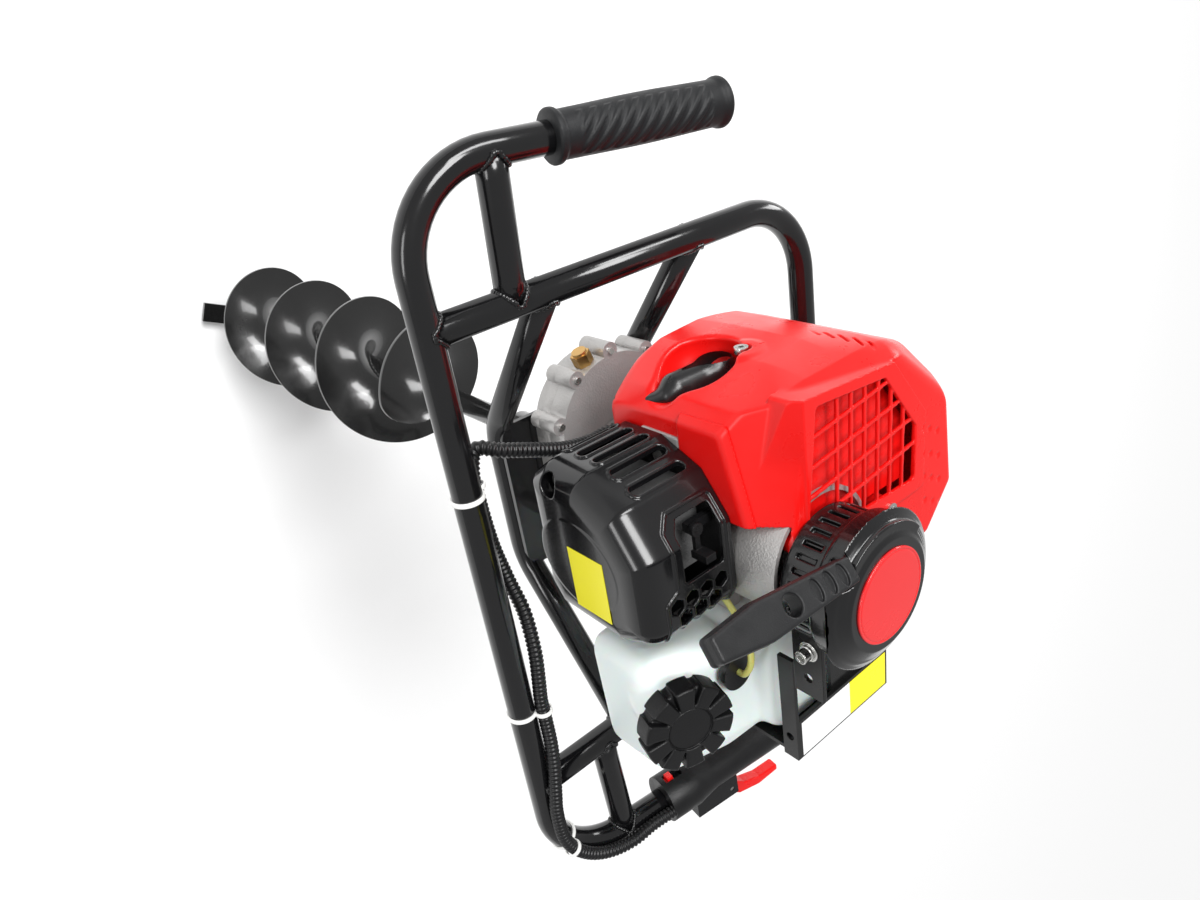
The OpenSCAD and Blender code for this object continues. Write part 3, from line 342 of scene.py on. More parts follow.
def nets(fn, lo, hi, h):
    """Surface nets over the field fn inside a box, in mm, refined onto the surface."""
    lo, hi = np.asarray(lo, float), np.asarray(hi, float)
    n = (np.ceil((hi - lo) / (8 * h)).astype(int)) * 8 + 1
    blocks = (n - 1) // 8
    bc = np.stack(np.meshgrid(*[lo[i] + 8 * h * (np.arange(blocks[i]) + 0.5) for i in range(3)],
                              indexing="ij"),
                  -1).reshape(-1, 3).astype(np.float32)
    far = fn(bc)
    F = np.ones(n, np.float32)
    near = (np.abs(far) < 8 * h * 0.95).reshape(blocks)
    sign = (far.reshape(blocks) > 0)
    for b in np.argwhere(~near & ~sign):
        F[b[0] * 8:b[0] * 8 + 9, b[1] * 8:b[1] * 8 + 9, b[2] * 8:b[2] * 8 + 9] = -1
    off = np.stack(np.meshgrid(*[np.arange(9)] * 3, indexing="ij"), -1).reshape(-1, 3)
    todo = np.argwhere(near)
    for s in range(0, len(todo), 1500):
        g = (todo[s:s + 1500, None, :] * 8 + off[None]).reshape(-1, 3)
        P = (lo + g * h).astype(np.float32)
        F[g[:, 0], g[:, 1], g[:, 2]] = fn(P)
    S = F < 0
    C = np.zeros(n - 1, np.int8)
    for dx in (0, 1):
        for dy in (0, 1):
            for dz in (0, 1):
                C += S[dx:dx + n[0] - 1, dy:dy + n[1] - 1, dz:dz + n[2] - 1]
    active = (C > 0) & (C < 8)
    cells = np.argwhere(active)
    idx = np.full(active.shape, -1, np.int64)
    idx[active] = np.arange(len(cells))
    pos, cnt = np.zeros((len(cells), 3)), np.zeros(len(cells))
    for ax in range(3):
        for i in (0, 1):
            for j in (0, 1):
                a = np.zeros(3, int)
                a[(ax + 1) % 3], a[(ax + 2) % 3] = i, j
                e = np.zeros(3, int)
                e[ax] = 1
                ca, cb = cells + a, cells + a + e
                fa, fb = F[ca[:, 0], ca[:, 1], ca[:, 2]], F[cb[:, 0], cb[:, 1], cb[:, 2]]
                m = (fa < 0) != (fb < 0)
                t = np.where(m, fa / np.where(m, fa - fb, 1), 0)
                pos[m] += (a + e * t[:, None])[m]
                cnt[m] += 1
    P = lo + (cells + pos / cnt[:, None]) * h
    faces = []
    for ax in range(3):
        u, v = (ax + 1) % 3, (ax + 2) % 3
        A = np.moveaxis(S, [ax, u, v], [0, 1, 2])
        I = np.moveaxis(idx, [ax, u, v], [0, 1, 2])
        D = np.argwhere(A[:-1, 1:-1, 1:-1] != A[1:, 1:-1, 1:-1]) + [0, 1, 1]
        q = np.stack([I[D[:, 0], D[:, 1] - 1, D[:, 2] - 1], I[D[:, 0], D[:, 1], D[:, 2] - 1],
                      I[D[:, 0], D[:, 1], D[:, 2]], I[D[:, 0], D[:, 1] - 1, D[:, 2]]], 1)
        flip = ~A[D[:, 0], D[:, 1], D[:, 2]]
        q[flip] = q[flip][:, ::-1]
        faces.append(q)
    faces = np.concatenate(faces)
    for _ in range(3):
        Q = P.astype(np.float32)
        d = fn(Q)
        g = np.stack([(fn(Q + np.float32(0.25 * h) * w) - fn(Q - np.float32(0.25 * h) * w)) / (0.5 * h)
                      for w in np.eye(3, dtype=np.float32)], -1)
        step = g * (d / np.maximum((g * g).sum(1), 0.2))[:, None]
        size = np.linalg.norm(step, axis=1)[:, None]
        P = P - step * np.minimum(1, 0.5 * h / np.maximum(size, 1e-6))
    return P, faces


def solid(name, fn, lo, hi, h, mat, body, place=None):
    """Piece from a distance field; place takes mm points to the row frame, in mm."""
    P, faces = nets(fn, lo, hi, h * (1))
    if place is None:
        P = P + np.array([0, 0, HOOP_Z])
    else:
        P = place(P)
    return put(name, P * MM, faces, mat, body)

# ---------------------------------------------------------------- tubes of the frame


def in_handle(x, y, z=0.0):
    """Handle plane to row frame, mm."""
    return np.array([x, -BASE_BACK + y * math.cos(RISE) - z * math.sin(RISE),
                     HOOP_Z + y * math.sin(RISE) + z * math.cos(RISE)])


def on_arm(side, x, y, z):
    """Point beside a handle arm: z runs along it, y points down, x to the right."""
    a = side * LEAN
    return in_handle(side * HANDLE_HALF + x * math.cos(a) - z * math.sin(a),
                     x * math.sin(a) + z * math.cos(a), -y)


def tube(name, points, bend, replaced):
    path = rounded([np.asarray(p, float) for p in points], bend,
                   16) if bend else [np.asarray(p, float) for p in points]
    o = pipe(name, path, TUBE_R, "frame_paint", "frame", sides=56, up=(0.013, 0.021, 1))
    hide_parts(*replaced)
    return o


L = HANDLE_LENGTH
bar = [in_handle(-HANDLE_HALF + L * math.sin(LEAN), L * math.cos(LEAN)), in_handle(-HANDLE_HALF, 0),
       in_handle(HANDLE_HALF, 0), in_handle(HANDLE_HALF - L * math.sin(LEAN), L * math.cos(LEAN))]
tube("handlebar", bar, BEND, ["handlebar_tube"])
tube("hoop", [(-HOOP_HALF, -BASE_BACK + 3, HOOP_Z), (-HOOP_HALF, HOOP_FRONT, HOOP_Z),
              (HOOP_HALF, HOOP_FRONT, HOOP_Z),
              (HOOP_HALF, -BASE_BACK + 3, HOOP_Z)], 56, ["guard_hoop"])
for tag, y in (("rear", -73), ("front", 51)):
    pts = [(-HOOP_HALF, y, HOOP_Z), (-56, y, HOOP_Z - 95), (56, y, HOOP_Z - 95), (HOOP_HALF, y, HOOP_Z)]
    o = pipe(tag + "_cradle", rounded(pts, 44, 12), TUBE_R, "frame_paint", "frame", sides=56,
             up=(0.01, 1, 0.02))
    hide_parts(tag + "_cradle_tube")
BRACE_Y = -97.0
brace_run = BRACE_Y + BASE_BACK
for side in (-1, 1):
    a = np.array([side * HOOP_HALF, BRACE_Y, HOOP_Z])
    b = np.array([side * (HANDLE_HALF - brace_run * math.tan(LEAN)), BRACE_Y,
                  HOOP_Z + brace_run * math.tan(RISE)])
    o = pipe("brace_%s" % ("left" if side < 0 else "right"), [a + (b - a) * k / 6 for k in range(7)], TUBE_R,
             "frame_paint", "frame", sides=56, up=(0.01, 0.02, 1))
    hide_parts("side_braces")


def weld(name, start, direction, b_point, b_dir, r_b=TUBE_R):
    """Bead where a tube that runs from start along direction meets another tube's surface."""
    d, bd = np.asarray(direction, float), np.asarray(b_dir, float)
    d, bd = d / np.linalg.norm(d), bd / np.linalg.norm(bd)
    e = np.cross(d, bd)
    e = e / np.linalg.norm(e)
    f = np.cross(d, e)
    n = 120
    pts, rad = [], []
    for k in range(n):
        t = 2 * math.pi * k / n
        c = np.asarray(start, float) + TUBE_R * 1.03 * (math.cos(t) * e + math.sin(t) * f)
        w = c - np.asarray(b_point, float)
        w = w - (w @ bd) * bd
        g = d - (d @ bd) * bd
        A, B, C = g @ g, 2 * (w @ g), w @ w - (r_b * 1.01) ** 2
        s = (-B + math.sqrt(max(0, B * B - 4 * A * C))) / (2 * A)
        pts.append(c + s * d)
        rad.append(1.5 + 0.3 * math.sin(k * 1.9) + 0.2 * math.sin(k * 0.31 + len(name)))
    return pipe(name, pts, rad, "frame_paint", "frame", sides=12, up=d + 0.001, closed=True)


for side, tag in ((-1, "left"), (1, "right")):
    hoop_dir = (0, 1, 0)
    weld("bead_brace_in_" + tag, (side * HOOP_HALF, BRACE_Y, HOOP_Z), (side * 88, 0, 8),
         (side * HOOP_HALF, 0, HOOP_Z),
         hoop_dir)
    top = np.array([side * (HANDLE_HALF - brace_run * math.tan(LEAN)), BRACE_Y,
                    HOOP_Z + brace_run * math.tan(RISE)])
    arm_dir = on_arm(side, 0, 0, 100) - on_arm(side, 0, 0, 0)
    weld("bead_brace_out_" + tag, top, (-side * 88, 0, -8), top, arm_dir)
    weld("bead_hoop_" + tag, (side * HOOP_HALF, -BASE_BACK, HOOP_Z), (0, 1, 0), (0, -BASE_BACK, HOOP_Z),
         (1, 0, 0))
    for y, end in ((-73, "rear"), (51, "front")):
        weld("bead_%s_%s" % (end, tag), (side * HOOP_HALF, y, HOOP_Z), (-side * 116, 0, -95),
             (side * HOOP_HALF, 0, HOOP_Z), hoop_dir)

# ---------------------------------------------------------------- grip


def grip_mesh():
    z0, n, sides = 95.0, 250, 144
    length_mm = 122.0
    rows, faces = [], []
    for i in range(n + 1):
        u = length_mm * i / n
        for k in range(sides):
            t = 360 * k / sides
            top = (t - 270 + 180) % 360 - 180          # 0 on the side that faces up
            r = 13.6
            r += 1.9 * math.exp(-((u - 2.5) / 3.2) ** 4)
            r += 1.5 * math.exp(-((u - (length_mm - 3)) / 4.0) ** 4)
            r += 0.9 * math.exp(-((u - 62) / 38) ** 2)
            if abs(top) < 62 and 14 < u < 106:
                band = (u + top * 0.22) % 9.4
                rise = 0.5 + 0.5 * math.tanh((2.2 - abs(band - 4.7)) * 2.0)
                fade = (0.5 + 0.5 * math.tanh((56 - abs(top)) / 3.0)) * min(1, (u - 14) / 3)
                fade *= min(1, (106 - u) / 3)
                r += 1.0 * rise * fade
            if u < 1.2:
                r -= (1.2 - u) * 0.9
            if u > length_mm - 3.5:
                r -= 3.4 * ((u - (length_mm - 3.5)) / 3.5) ** 2
            a = math.radians(t)
            rows.append(on_arm(-1, r * math.cos(a), r * math.sin(a), z0 + u))
    for i in range(n):
        for k in range(sides):
            m = (k + 1) % sides
            faces.append((i * sides + k, i * sides + m, (i + 1) * sides + m, (i + 1) * sides + k))
    faces.append(tuple(reversed(range(sides))))
    rings = []
    for r in (9.0, 7.0, 4.0):
        rings.append(len(rows))
        for k in range(sides):
            a = 2 * math.pi * k / sides
            rows.append(on_arm(-1, r * math.cos(a), r * math.sin(a),
                               z0 + length_mm - (0.6 if r > 8 else 1.6)))
    prev = n * sides
    for s in rings:
        for k in range(sides):
            m = (k + 1) % sides
            faces.append((prev + k, prev + m, s + m, s + k))
        prev = s
    faces.append(tuple(prev + k for k in range(sides)))
    o = put("grip_left", np.array(rows) * MM, faces, "grip_rubber", "frame")
    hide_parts("left_grip")


grip_mesh()

# ---------------------------------------------------------------- corrugated conduit

BESIDE = TUBE_R + 5.4


def beside(x, a, d=BESIDE):
    return (x, -BASE_BACK + d * math.cos(math.radians(a)), HOOP_Z + d * math.sin(math.radians(a)))


turn = math.radians(90 - 1.4)
corner = np.array([HANDLE_HALF - BEND * math.tan(turn / 2), BEND])


def on_top(x, y):
    p = in_handle(x, y)
    return (p[0], p[1], p[2] + BESIDE)


def over_corner(a):
    return on_top(corner[0] + BEND * math.cos(math.radians(a)), corner[1] + BEND * math.sin(math.radians(a)))


def over_arm(z):
    return on_top(HANDLE_HALF - z * math.sin(LEAN), z * math.cos(LEAN))


low = [(-63, -33, 36), (-63, -33, 18), (-63, -34, 0), (-61, -42, -7), (-62, -56, -5), (-68, -80, -2),
       (-78, -104, -1),
       (-86, -124, -3)]
route = [(x, y, z + HOOP_Z) for x, y, z in low] + [
    beside(-90, 330, 21), beside(-76, 320), beside(-60, 320), beside(-40, 322, BESIDE + 0.3),
    beside(-20, 328, BESIDE + 0.6), beside(4, 342, 17), beside(28, 5, 18.5), beside(54, 28, 18),
    beside(76, 38, 16.5),
    beside(94, 42), beside(112, 42), beside(132, 50, BESIDE + 0.5), beside(152, 64, BESIDE + 0.5),
    beside(172, 80, BESIDE + 0.3), beside(190, 90, BESIDE + 0.2), over_corner(-80), over_corner(-60),
    over_corner(-40), over_corner(-20), over_corner(0), over_arm(75), over_arm(95.9)]


def spline(points, per):
    p = np.array([points[0]] + list(points) + [points[-1]], float)
    out = []
    for i in range(1, len(p) - 2):
        for s in range(per):
            t = s / per
            out.append(0.5 * (2 * p[i] + t * (p[i + 1] - p[i - 1])
                              + t * t * (2 * p[i - 1] - 5 * p[i] + 4 * p[i + 1] - p[i + 2])
                              + t ** 3 * (3 * p[i] - p[i - 1] - 3 * p[i + 1] + p[i + 2])))
    return np.array(out + [p[-2]])


def even(points, step):
    p = np.asarray(points, float)
    s = np.concatenate([[0], np.cumsum(np.linalg.norm(np.diff(p, axis=0), axis=1))])
    t = np.arange(0, s[-1], step)
    return np.stack([np.interp(t, s, p[:, k]) for k in range(3)], 1)


line = even(spline(route, 24), 0.55)
wave = np.arange(len(line)) * 0.55 / 3.3
crest = np.clip(np.sin(wave * 2 * np.pi) * 1.6, -1, 1)
o = pipe("conduit", line, 4.55 + 0.42 * crest, "conduit_plastic", "frame", sides=24)
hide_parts("throttle_conduit")
hose = spline([(72, -54, 951), (70, -54, 957), (60, -51, 960), (45, -46, 953), (35, -42, 938),
               (22, -41.5, 924),
               (8, -41.5, 914), (-8, -41, 906), (-24, -39, 900), (-36, -36, 896), (-46, -35, 894)], 8)
o = pipe("fuel_hose", hose, 2.2, "fuel_hose", "frame", sides=20)
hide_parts("fuel_lines")

# ---------------------------------------------------------------- red cover

OUTLINE = [(-2, -43), (-90, -43), (-103, -34), (-118, 4), (-121, 40), (-113, 76), (-99, 108), (-73, 130),
           (10, 138),
           (41, 109), (38, 96), (2, 66), (-6, 52), (-8, -24)]
PROFILE = [(-108, 4), (-119, 8), (-121.5, 40), (-121, 98), (-113, 128), (-104, 142), (60, 142), (60, 4)]


GRILLE = [(-104, -7), (-97, 58), (-52, 90), (-14, 88), (-20, -19)]


def cover_solid(p):
    x, y, z = p[:, 0], p[:, 1], p[:, 2]
    d = f_round_poly(x, y, OUTLINE, 7)
    d = smax(d, f_round_poly(x, z, PROFILE, 3), 6)
    # facets where the crown falls away towards the rear arch and the front
    for n, far, k in (((-0.62, -0.55, 0.56), 152.0, 2.0), ((-0.58, 0.52, 0.62), 190.0, 5.0),
                      ((-0.15, -0.80, 0.58), 108.0, 2.0), ((-0.75, -0.62, -0.2), 92.0, 5.0)):
        n = np.array(n) / np.linalg.norm(n)
        d = smax(d, p @ n.astype(np.float32) - far, k)
    # raised frame round the grille
    pad = f_round_poly(x, y, [(-112, -22), (-104, 67), (-58, 101), (-4, 99), (-5, -26), (-14, -42),
                              (-30, -41)], 3)
    pad = np.maximum(pad, p @ np.array([0, -0.83, 0.555], np.float32) - 94.6)
    d = smin(d, np.maximum(pad, np.abs(z - 134) - 10.6), 1.2)
    # pad of the crown's screw
    d = smin(d, f_cyl(p, (-100, 12, 74), (-118.0, 12, 74), 13, 2), 5)
    # bowl and gap round the plug's cap
    e = (p - np.array([-111, -4, 54], np.float32)) / np.array([1, 1.15, 1.1], np.float32)
    bowl = smin(length(e) - 24, f_capsule(p, (-109, -44, 48), (-109, -6, 52), 14), 6)
    return cut(d, bowl, 3.5)


def cover(p):
    x, y, z = p[:, 0], p[:, 1], p[:, 2]
    body = cover_solid(p)
    d = np.maximum(body, -(body + 3.0))
    # thick lip along the arch over the intake
    d = np.minimum(d, np.maximum(np.abs(body - 0.4) - 1.4, np.maximum(y + 40.5, np.maximum(-y - 46, 70 - z))))
    d = cut(d, f_box(p, (16, -2, 68), (50, 60, 71)))
    d = cut(d, f_box(p, (-50, 25, 0), (40, 64.5, 12)))
    d = cut(d, f_box(p, (-53, -43, 53), (11, 8, 19), 3))
    # cooling slots on the crown
    for k in range(5):
        a = np.array([-117.5 + 1.5 * k, 60 + 2.2 * k, 89 + 9.0 * k])
        d_slot = f_capsule(p, a, a + [0.4, -4.5, 9.5], 1.3)
        d = cut(d, d_slot, 0.4)
    # grille: pocket with a lattice of ribs over a sunk floor
    pocket = f_round_poly(x, y, GRILLE, 3)
    d = np.minimum(d, np.maximum(pocket - 2, np.abs(z - 133.0) - 1.6))
    ribs = np.minimum.reduce([np.abs(y + 0.04 * x - (-4 + 13.2 * k)) - 1.1 for k in range(1, 8)]
                             + [np.abs(x + 0.10 * y - (-105 + 18.5 * k)) - 1.1 for k in range(1, 5)])
    hole = np.maximum(np.maximum(pocket, 134.6 - z), -np.maximum(ribs, z - 143.8))
    d = cut(d, hole, 0.5)
    # dimples beside the grille
    for i in range(3):
        for j in range(4):
            q = np.array([-46 + 19 * j + 5 * i, 100 + 9 * i + 1.5 * j, 144.4], np.float32)
            d = cut(d, length(p - q) - 3.2, 0.8)
    for sx, sy in ((-4, 62), (-21, -23)):
        d = smin(d, f_cyl(p, (sx, sy, 120), (sx, sy, 142), 7, 1.5), 3)
    return cut(d, f_cyl(p, (-200, 12, 74), (-116, 12, 74), 6.5, 0.5))


o = solid("engine_cover", cover, (-125, -50, 0), (46, 142, 148), 0.85, "red_plastic", "frame")
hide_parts("top_cover")

# ---------------------------------------------------------------- intake

FILTER = [(-80, 22), (-68, 5), (10, 5), (28, 18), (30, 80), (20, 104), (12, 108), (-38, 108), (-66, 88),
          (-80, 56)]


def intake_cover(p):
    x, y, z = p[:, 0], p[:, 1], p[:, 2]
    d2 = f_round_poly(x, z, FILTER, 8)
    d = smax(d2, -118.6 - y, 20)
    # raised oval on the face that looks back
    egg = length(np.stack([(x + 20) / 1.0, (z - 50) / 1.18], -1)) - 32
    d = np.minimum(d, smax(egg, np.abs(y + 112) - 6.9, 2.5))
    d = cut(d, f_cyl(p, (-68, -130, 30), (-68, -100, 30), 7.4, 1), 1)
    d = smin(d, np.maximum(np.abs(f_cyl(p, (-68, -103, 30), (-68, -60, 30), 9.2, 1)) - 1.6, -104 - y), 1.5)
    body = d
    shell = np.maximum(d, -(body + 2.6))
    shell = np.maximum(shell, y + 45)
    boss = f_cyl(p, (-68, -100.5, 30), (-68, -60, 30), 6, 1)
    shell = np.minimum(shell, np.maximum(boss, body))
    shell = cut(shell, f_cyl(p, (-68, -130, 30), (-68, -40, 30), 2.7))
    for k in range(5):
        z0 = 21 + 15 * k
        slot = f_capsule(p, (-90, -91, z0), (-90, -56, z0), 3.6)
        slot = np.maximum(np.abs(z - z0) - 3.6, np.maximum(np.maximum(-95 - y, y + 52), x + 52))
        ends = np.minimum(np.maximum(length(np.stack([y + 91, z - z0], -1)) - 3.6, x + 52),
                          np.maximum(length(np.stack([y + 56, z - z0], -1)) - 3.6, x + 52))
        slot = np.minimum(np.maximum(np.maximum(np.abs(z - z0) - 3.6, np.abs(y + 73.5) - 17.5), x + 52), ends)
        rim = np.maximum(slot - 1.9, np.abs(body) - 1.1)
        shell = np.minimum(shell, np.maximum(rim, x + 53))
        shell = cut(shell, slot)
    # windows low on the side: choke opening and a honeycomb
    rim = f_round_poly(x, y, [(-56, -49), (-56, -84), (-48, -92), (-12, -92), (-6, -102), (25, -102),
                              (25, -49)], 3)
    shell = np.minimum(shell, np.maximum(np.maximum(np.abs(rim) - 0.9, np.abs(body) - 1.0), 90 - z))
    choke = f_round_poly(x, y, [(-51, -53), (-51, -79), (-44, -85), (-12, -85), (-12, -53)], 2.5)
    shell = cut(shell, np.maximum(choke, 90 - z))
    for i in range(4):
        for j in range(3):
            cx, cy = -1 + 10.4 * j, -57 - 12.2 * i - 6.1 * (j % 2)
            if cy > -97:
                dx, dy = np.abs(x - cx), np.abs(y - cy)
                hexa = np.maximum(dx * 0.866 + dy * 0.5, dy) - 5.0
                shell = cut(shell, np.maximum(hexa, 88 - z))
    return shell


o = solid("filter_cover", intake_cover, (-84, -121, 2), (34, -44, 111), 0.75, "gloss_black_plastic", "frame")
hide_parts("air_filter_cover")

# ---------------------------------------------------------------- plug cap


def plug_cap(p):
    d = f_capsule(p, (-99.5, -22, 48), (-101, 10, 53), 10.2)
    d = smin(d, f_capsule(p, (-101, 10, 53), (-88, 8, 54), 13), 6)
    d = smin(d, f_cyl(p, (-90, 8, 54), (-85, 8, 54), 15, 2), 3)
    for k in range(4):
        a = length(np.stack([p[:, 0] + 97.5, p[:, 2] - 50], -1))
        d = smin(d, np.maximum(np.abs(a - 8.9) - 0.7, np.abs(p[:, 1] + 4 - 0 + 4.2 * k) - 0.9), 1)
    d = smin(d, f_capsule(p, (-97.5, -30, 49), (-93, -34, 38), 5.5), 5)
    return d


o = solid("plug_boot", plug_cap, (-110, -42, 30), (-80, 24, 70), 0.7, "boot_rubber", "frame")
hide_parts("spark_plug_cap")

# ---------------------------------------------------------------- fuel cap

CAP = np.array([82.0, -99.0, 101.0 + HOOP_Z])
CAP_TILT = math.radians(16)


def on_cap(P):
    c, s = math.cos(CAP_TILT), math.sin(CAP_TILT)
    return np.stack([P[:, 0] + CAP[0], P[:, 1] * c - P[:, 2] * s + CAP[1],
                     P[:, 1] * s + P[:, 2] * c + CAP[2]], -1)


def cap_field(p):
    x, y, z = p[:, 0], p[:, 1], p[:, 2]
    d = f_cyl(p, (0, 0, 0), (0, 0, 11), 28, 2)
    r = length(p[:, :2])
    a = np.arctan2(y, x)
    sector = np.abs((a / (2 * np.pi) * 10 + 0.5) % 1 - 0.5) * 2 * np.pi / 10 * r
    lobe = smax(np.maximum(sector - (2.6 + 0.14 * r), r - 30.4), np.abs(z - 8) - 7.6, 2.0)
    lobe = np.maximum(lobe, 15 - r)
    d = smin(d, lobe, 1.6)
    d = smin(d, f_cyl(p, (0, 0, 4), (0, 0, 14.6), 17, 1.5), 1.5)
    d = cut(d, np.maximum(np.abs(r - 15.0) - 0.5, np.abs(z - 15) - 1.0), 0.5)
    d = cut(d, f_cyl(p, (0, 0, -3), (0, 0, 8), 22.4))
    return d


o = solid("fuel_cap", cap_field, (-33, -33, -2), (33, 33, 18), 0.7, "black_plastic", "cap", place=on_cap)
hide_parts("tank_cap")

# ---------------------------------------------------------------- recoil starter

HANDLE_AT = np.array([-31.2, -34.0, 188.0])
HANDLE_TURN = math.radians(-6.2)
HANDLE_TILT = math.radians(40)
STARTER = np.array([4, -5, 0], np.float32)


def handle_axes():
    """Columns: across the handle, along it, and out of its face."""
    ct, st = math.cos(HANDLE_TILT), math.sin(HANDLE_TILT)
    ca, sa = math.cos(HANDLE_TURN), math.sin(HANDLE_TURN)
    return np.array([[ct * ca, -sa, -st * ca], [ct * sa, ca, -st * sa], [st, 0, ct]])


def to_handle(p):
    return ((p - HANDLE_AT) @ handle_axes()).astype(np.float32)


def starter(p):
    q = p - STARTER
    x, y, z = q[:, 0], q[:, 1], q[:, 2]
    r = length(q[:, :2])
    d = f_cyl(q, (0, 0, 143.5), (0, 0, 170), 42, 1)
    d = np.minimum(d, f_cyl(q, (0, 0, 167), (0, 0, 183.5), 45.8, 2.5))
    cone = np.maximum(np.maximum((r - 45.2 + (z - 183) * 1.7) * 0.6, 180 - z), z - 188.8)
    d = smin(d, cone, 1.5)
    # lighter step round a quarter of the rim
    a = np.arctan2(y, x)
    d = smin(d, np.maximum(np.maximum(np.abs(r - 41.5) - 2.6, np.abs(z - 184) - 3.2),
                           np.abs(np.abs(a) - 2.9) - 0.62), 1)
    # cooling slots round the drum
    t = np.abs((a / (2 * np.pi) * 30 + 0.5) % 1 - 0.5) * 2 * np.pi / 30 * r
    d = cut(d, np.maximum(np.maximum(t - 1.6, 39 - r), np.abs(z - 156) - 6.5), 0.8)
    d = np.minimum(d, np.maximum(np.maximum(r - 42, 138 - z), np.maximum(z - 145, -2 - x)))
    d = cut(d, f_cyl(q, (0, 0, 130), (0, 0, 166), 38))
    d = cut(d, f_cyl(p, (0, 0, 164), (0, 0, 186), 34.5))
    d = np.minimum(d, f_cyl(p, (0, 0, 168), (0, 0, 186.5), 7))
    h = to_handle(p)
    d = cut(d, f_box(h, (0, -29.7, 12), (9, 30.3, 25), 1.5), 1.0)
    d = cut(d, f_cyl(p, (-28, -14, 178), (-28, -54, 178), 2.5))
    return d


o = solid("starter_drum", starter, (-52, -52, 136), (52, 52, 191), 0.85, "gloss_black_plastic", "frame")
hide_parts("starter_housing")


def badge(p):
    q = p - STARTER
    d = f_cyl(q, (0, 0, 188.2), (0, 0, 190), 30, 0.5)
    r = length(q[:, :2])
    return cut(d, np.maximum(np.abs(r - 28.2) - 0.35, 189.7 - q[:, 2]))


o = solid("badge", badge, (-28, -37, 187.5), (36, 27, 191), 0.45, "badge_red", "frame")
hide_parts("starter_badge")


def grip_plate(q):
    x, y, z = q[:, 0], q[:, 1], q[:, 2]
    outline = [(-7.5, -0.3), (-10.9, -72), (-7, -106.5), (7, -106.5), (10.9, -72), (7.5, -0.3)]
    d = smax(f_round_poly(x, y, outline, 2.2), np.abs(z + 5.5) - 5.5, 2.2)
    # hem round the lower edge
    d = smin(d, smax(f_round_poly(x, y, outline, 2.2) - 0.5, np.abs(z + 8.6) - 1.6, 1.2), 1.0)
    d = cut(d, f_cyl(q, (0, -51.6, -15), (0, -51.6, 5), 6.3), 1.0)
    for k in range(3):
        c = (x / 1.9, y + 10.6 + 10.8 * k)
        d = cut(d, np.maximum(length(np.stack(c, -1)) - 3.3, -1.6 - z), 0.9)
    return d


def on_handle(P):
    return P @ handle_axes().T + HANDLE_AT + [0, 0, HOOP_Z]


o = solid("starter_grip", grip_plate, (-13, -109, -13), (13, 2, 2), 0.55, "handle_plastic", "handle",
          place=on_handle)
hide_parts("pull_handle")

# ---------------------------------------------------------------- bracket screw and fan ring


def bracket_screw(p):
    d = f_cyl(p, (40, -38.8, 157), (40, -40.2, 157), 6.6, 0.3)
    d = np.minimum(d, f_cyl(p, (40, -40, 157), (40, -42.2, 157), 5.2, 0.6))
    d = np.minimum(d, f_cyl(p, (40, -42, 157), (40, -47.5, 157), 4.3, 0.6))
    w = np.stack([np.abs(p[:, 0] - 40), np.abs(p[:, 2] - 157)], -1)
    socket = np.maximum(np.maximum(w[:, 0] * 0.866 + w[:, 1] * 0.5, w[:, 1]) - 2.1, p[:, 1] + 44.5)
    return cut(d, socket)


solid("bracket_screw", bracket_screw, (32, -49, 149), (48, -38, 165), 0.4, "zinc", "frame")


def fan_ring(p):
    q = p - STARTER
    r, a = length(q[:, :2]), np.arctan2(q[:, 1], q[:, 0])
    return smax(smax(np.abs(r - 46.5) - 3.0, np.abs(q[:, 2] - 147.5) - 6.5, 2), np.abs(a - 0.25) - 0.85, 1)


solid("fan_ring", fan_ring, (18, -40, 138), (56, 46, 156), 0.7, "nylon", "frame")

# ---------------------------------------------------------------- bit


def flight():
    per, turns, first = 120, 3.5, 100.0
    total = int(per * turns)
    outer, inner, thick, base = 75.0, 9.0, 4.0, 15.1
    radii = [inner] + list(np.linspace(inner + 4, outer - 1.2, 9)) + [outer - 0.35]
    verts, faces = [], []
    ring = 2 * len(radii) + 1
    for i in range(total + 1):
        a = math.radians(first + i * 360 / per)
        z = base + i * 150 / per
        left = (total - i) * 360 / per
        rim = outer - (36 * (1 - min(1, left / 30.0)) ** 2.2)
        s = (rim - inner) / (outer - inner)
        # section of the flight: lower face outwards, the rim, then upper face back in, scaled with the rim
        row = []
        for r in radii:
            rr = inner + (r - inner) * s
            row.append((rr, z))
        row.append((inner + (outer - inner) * s, z + thick / 2))
        for r in reversed(radii):
            rr = inner + (r - inner) * s
            row.append((rr, z + thick))
        for rr, zz in row:
            verts.append((rr * math.cos(a), rr * math.sin(a), zz))
    for i in range(total):
        for k in range(ring):
            m = (k + 1) % ring
            faces.append((i * ring + k, (i + 1) * ring + k, (i + 1) * ring + m, i * ring + m))
    faces.append(tuple(range(ring)))
    faces.append(tuple(total * ring + k for k in reversed(range(ring))))
    o = put("flight", np.array(verts) * MM, faces, "bit_paint", "auger")
    sharp_by_angle(o, 40)
    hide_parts("auger_flight")
    bead = [(10.4 * math.cos(math.radians(first + t)), 10.4 * math.sin(math.radians(first + t)),
             base + thick + 0.6 + t * 150 / 360) for t in range(4, 1255, 4)]
    rad = [1.9 + 0.4 * math.sin(k * 1.7) for k in range(len(bead))]
    pipe("bead_flight", bead, rad, "bit_paint", "auger", sides=10, up=(0.02, 0.01, 1))


flight()

# ---------------------------------------------------------------- labels, all blank


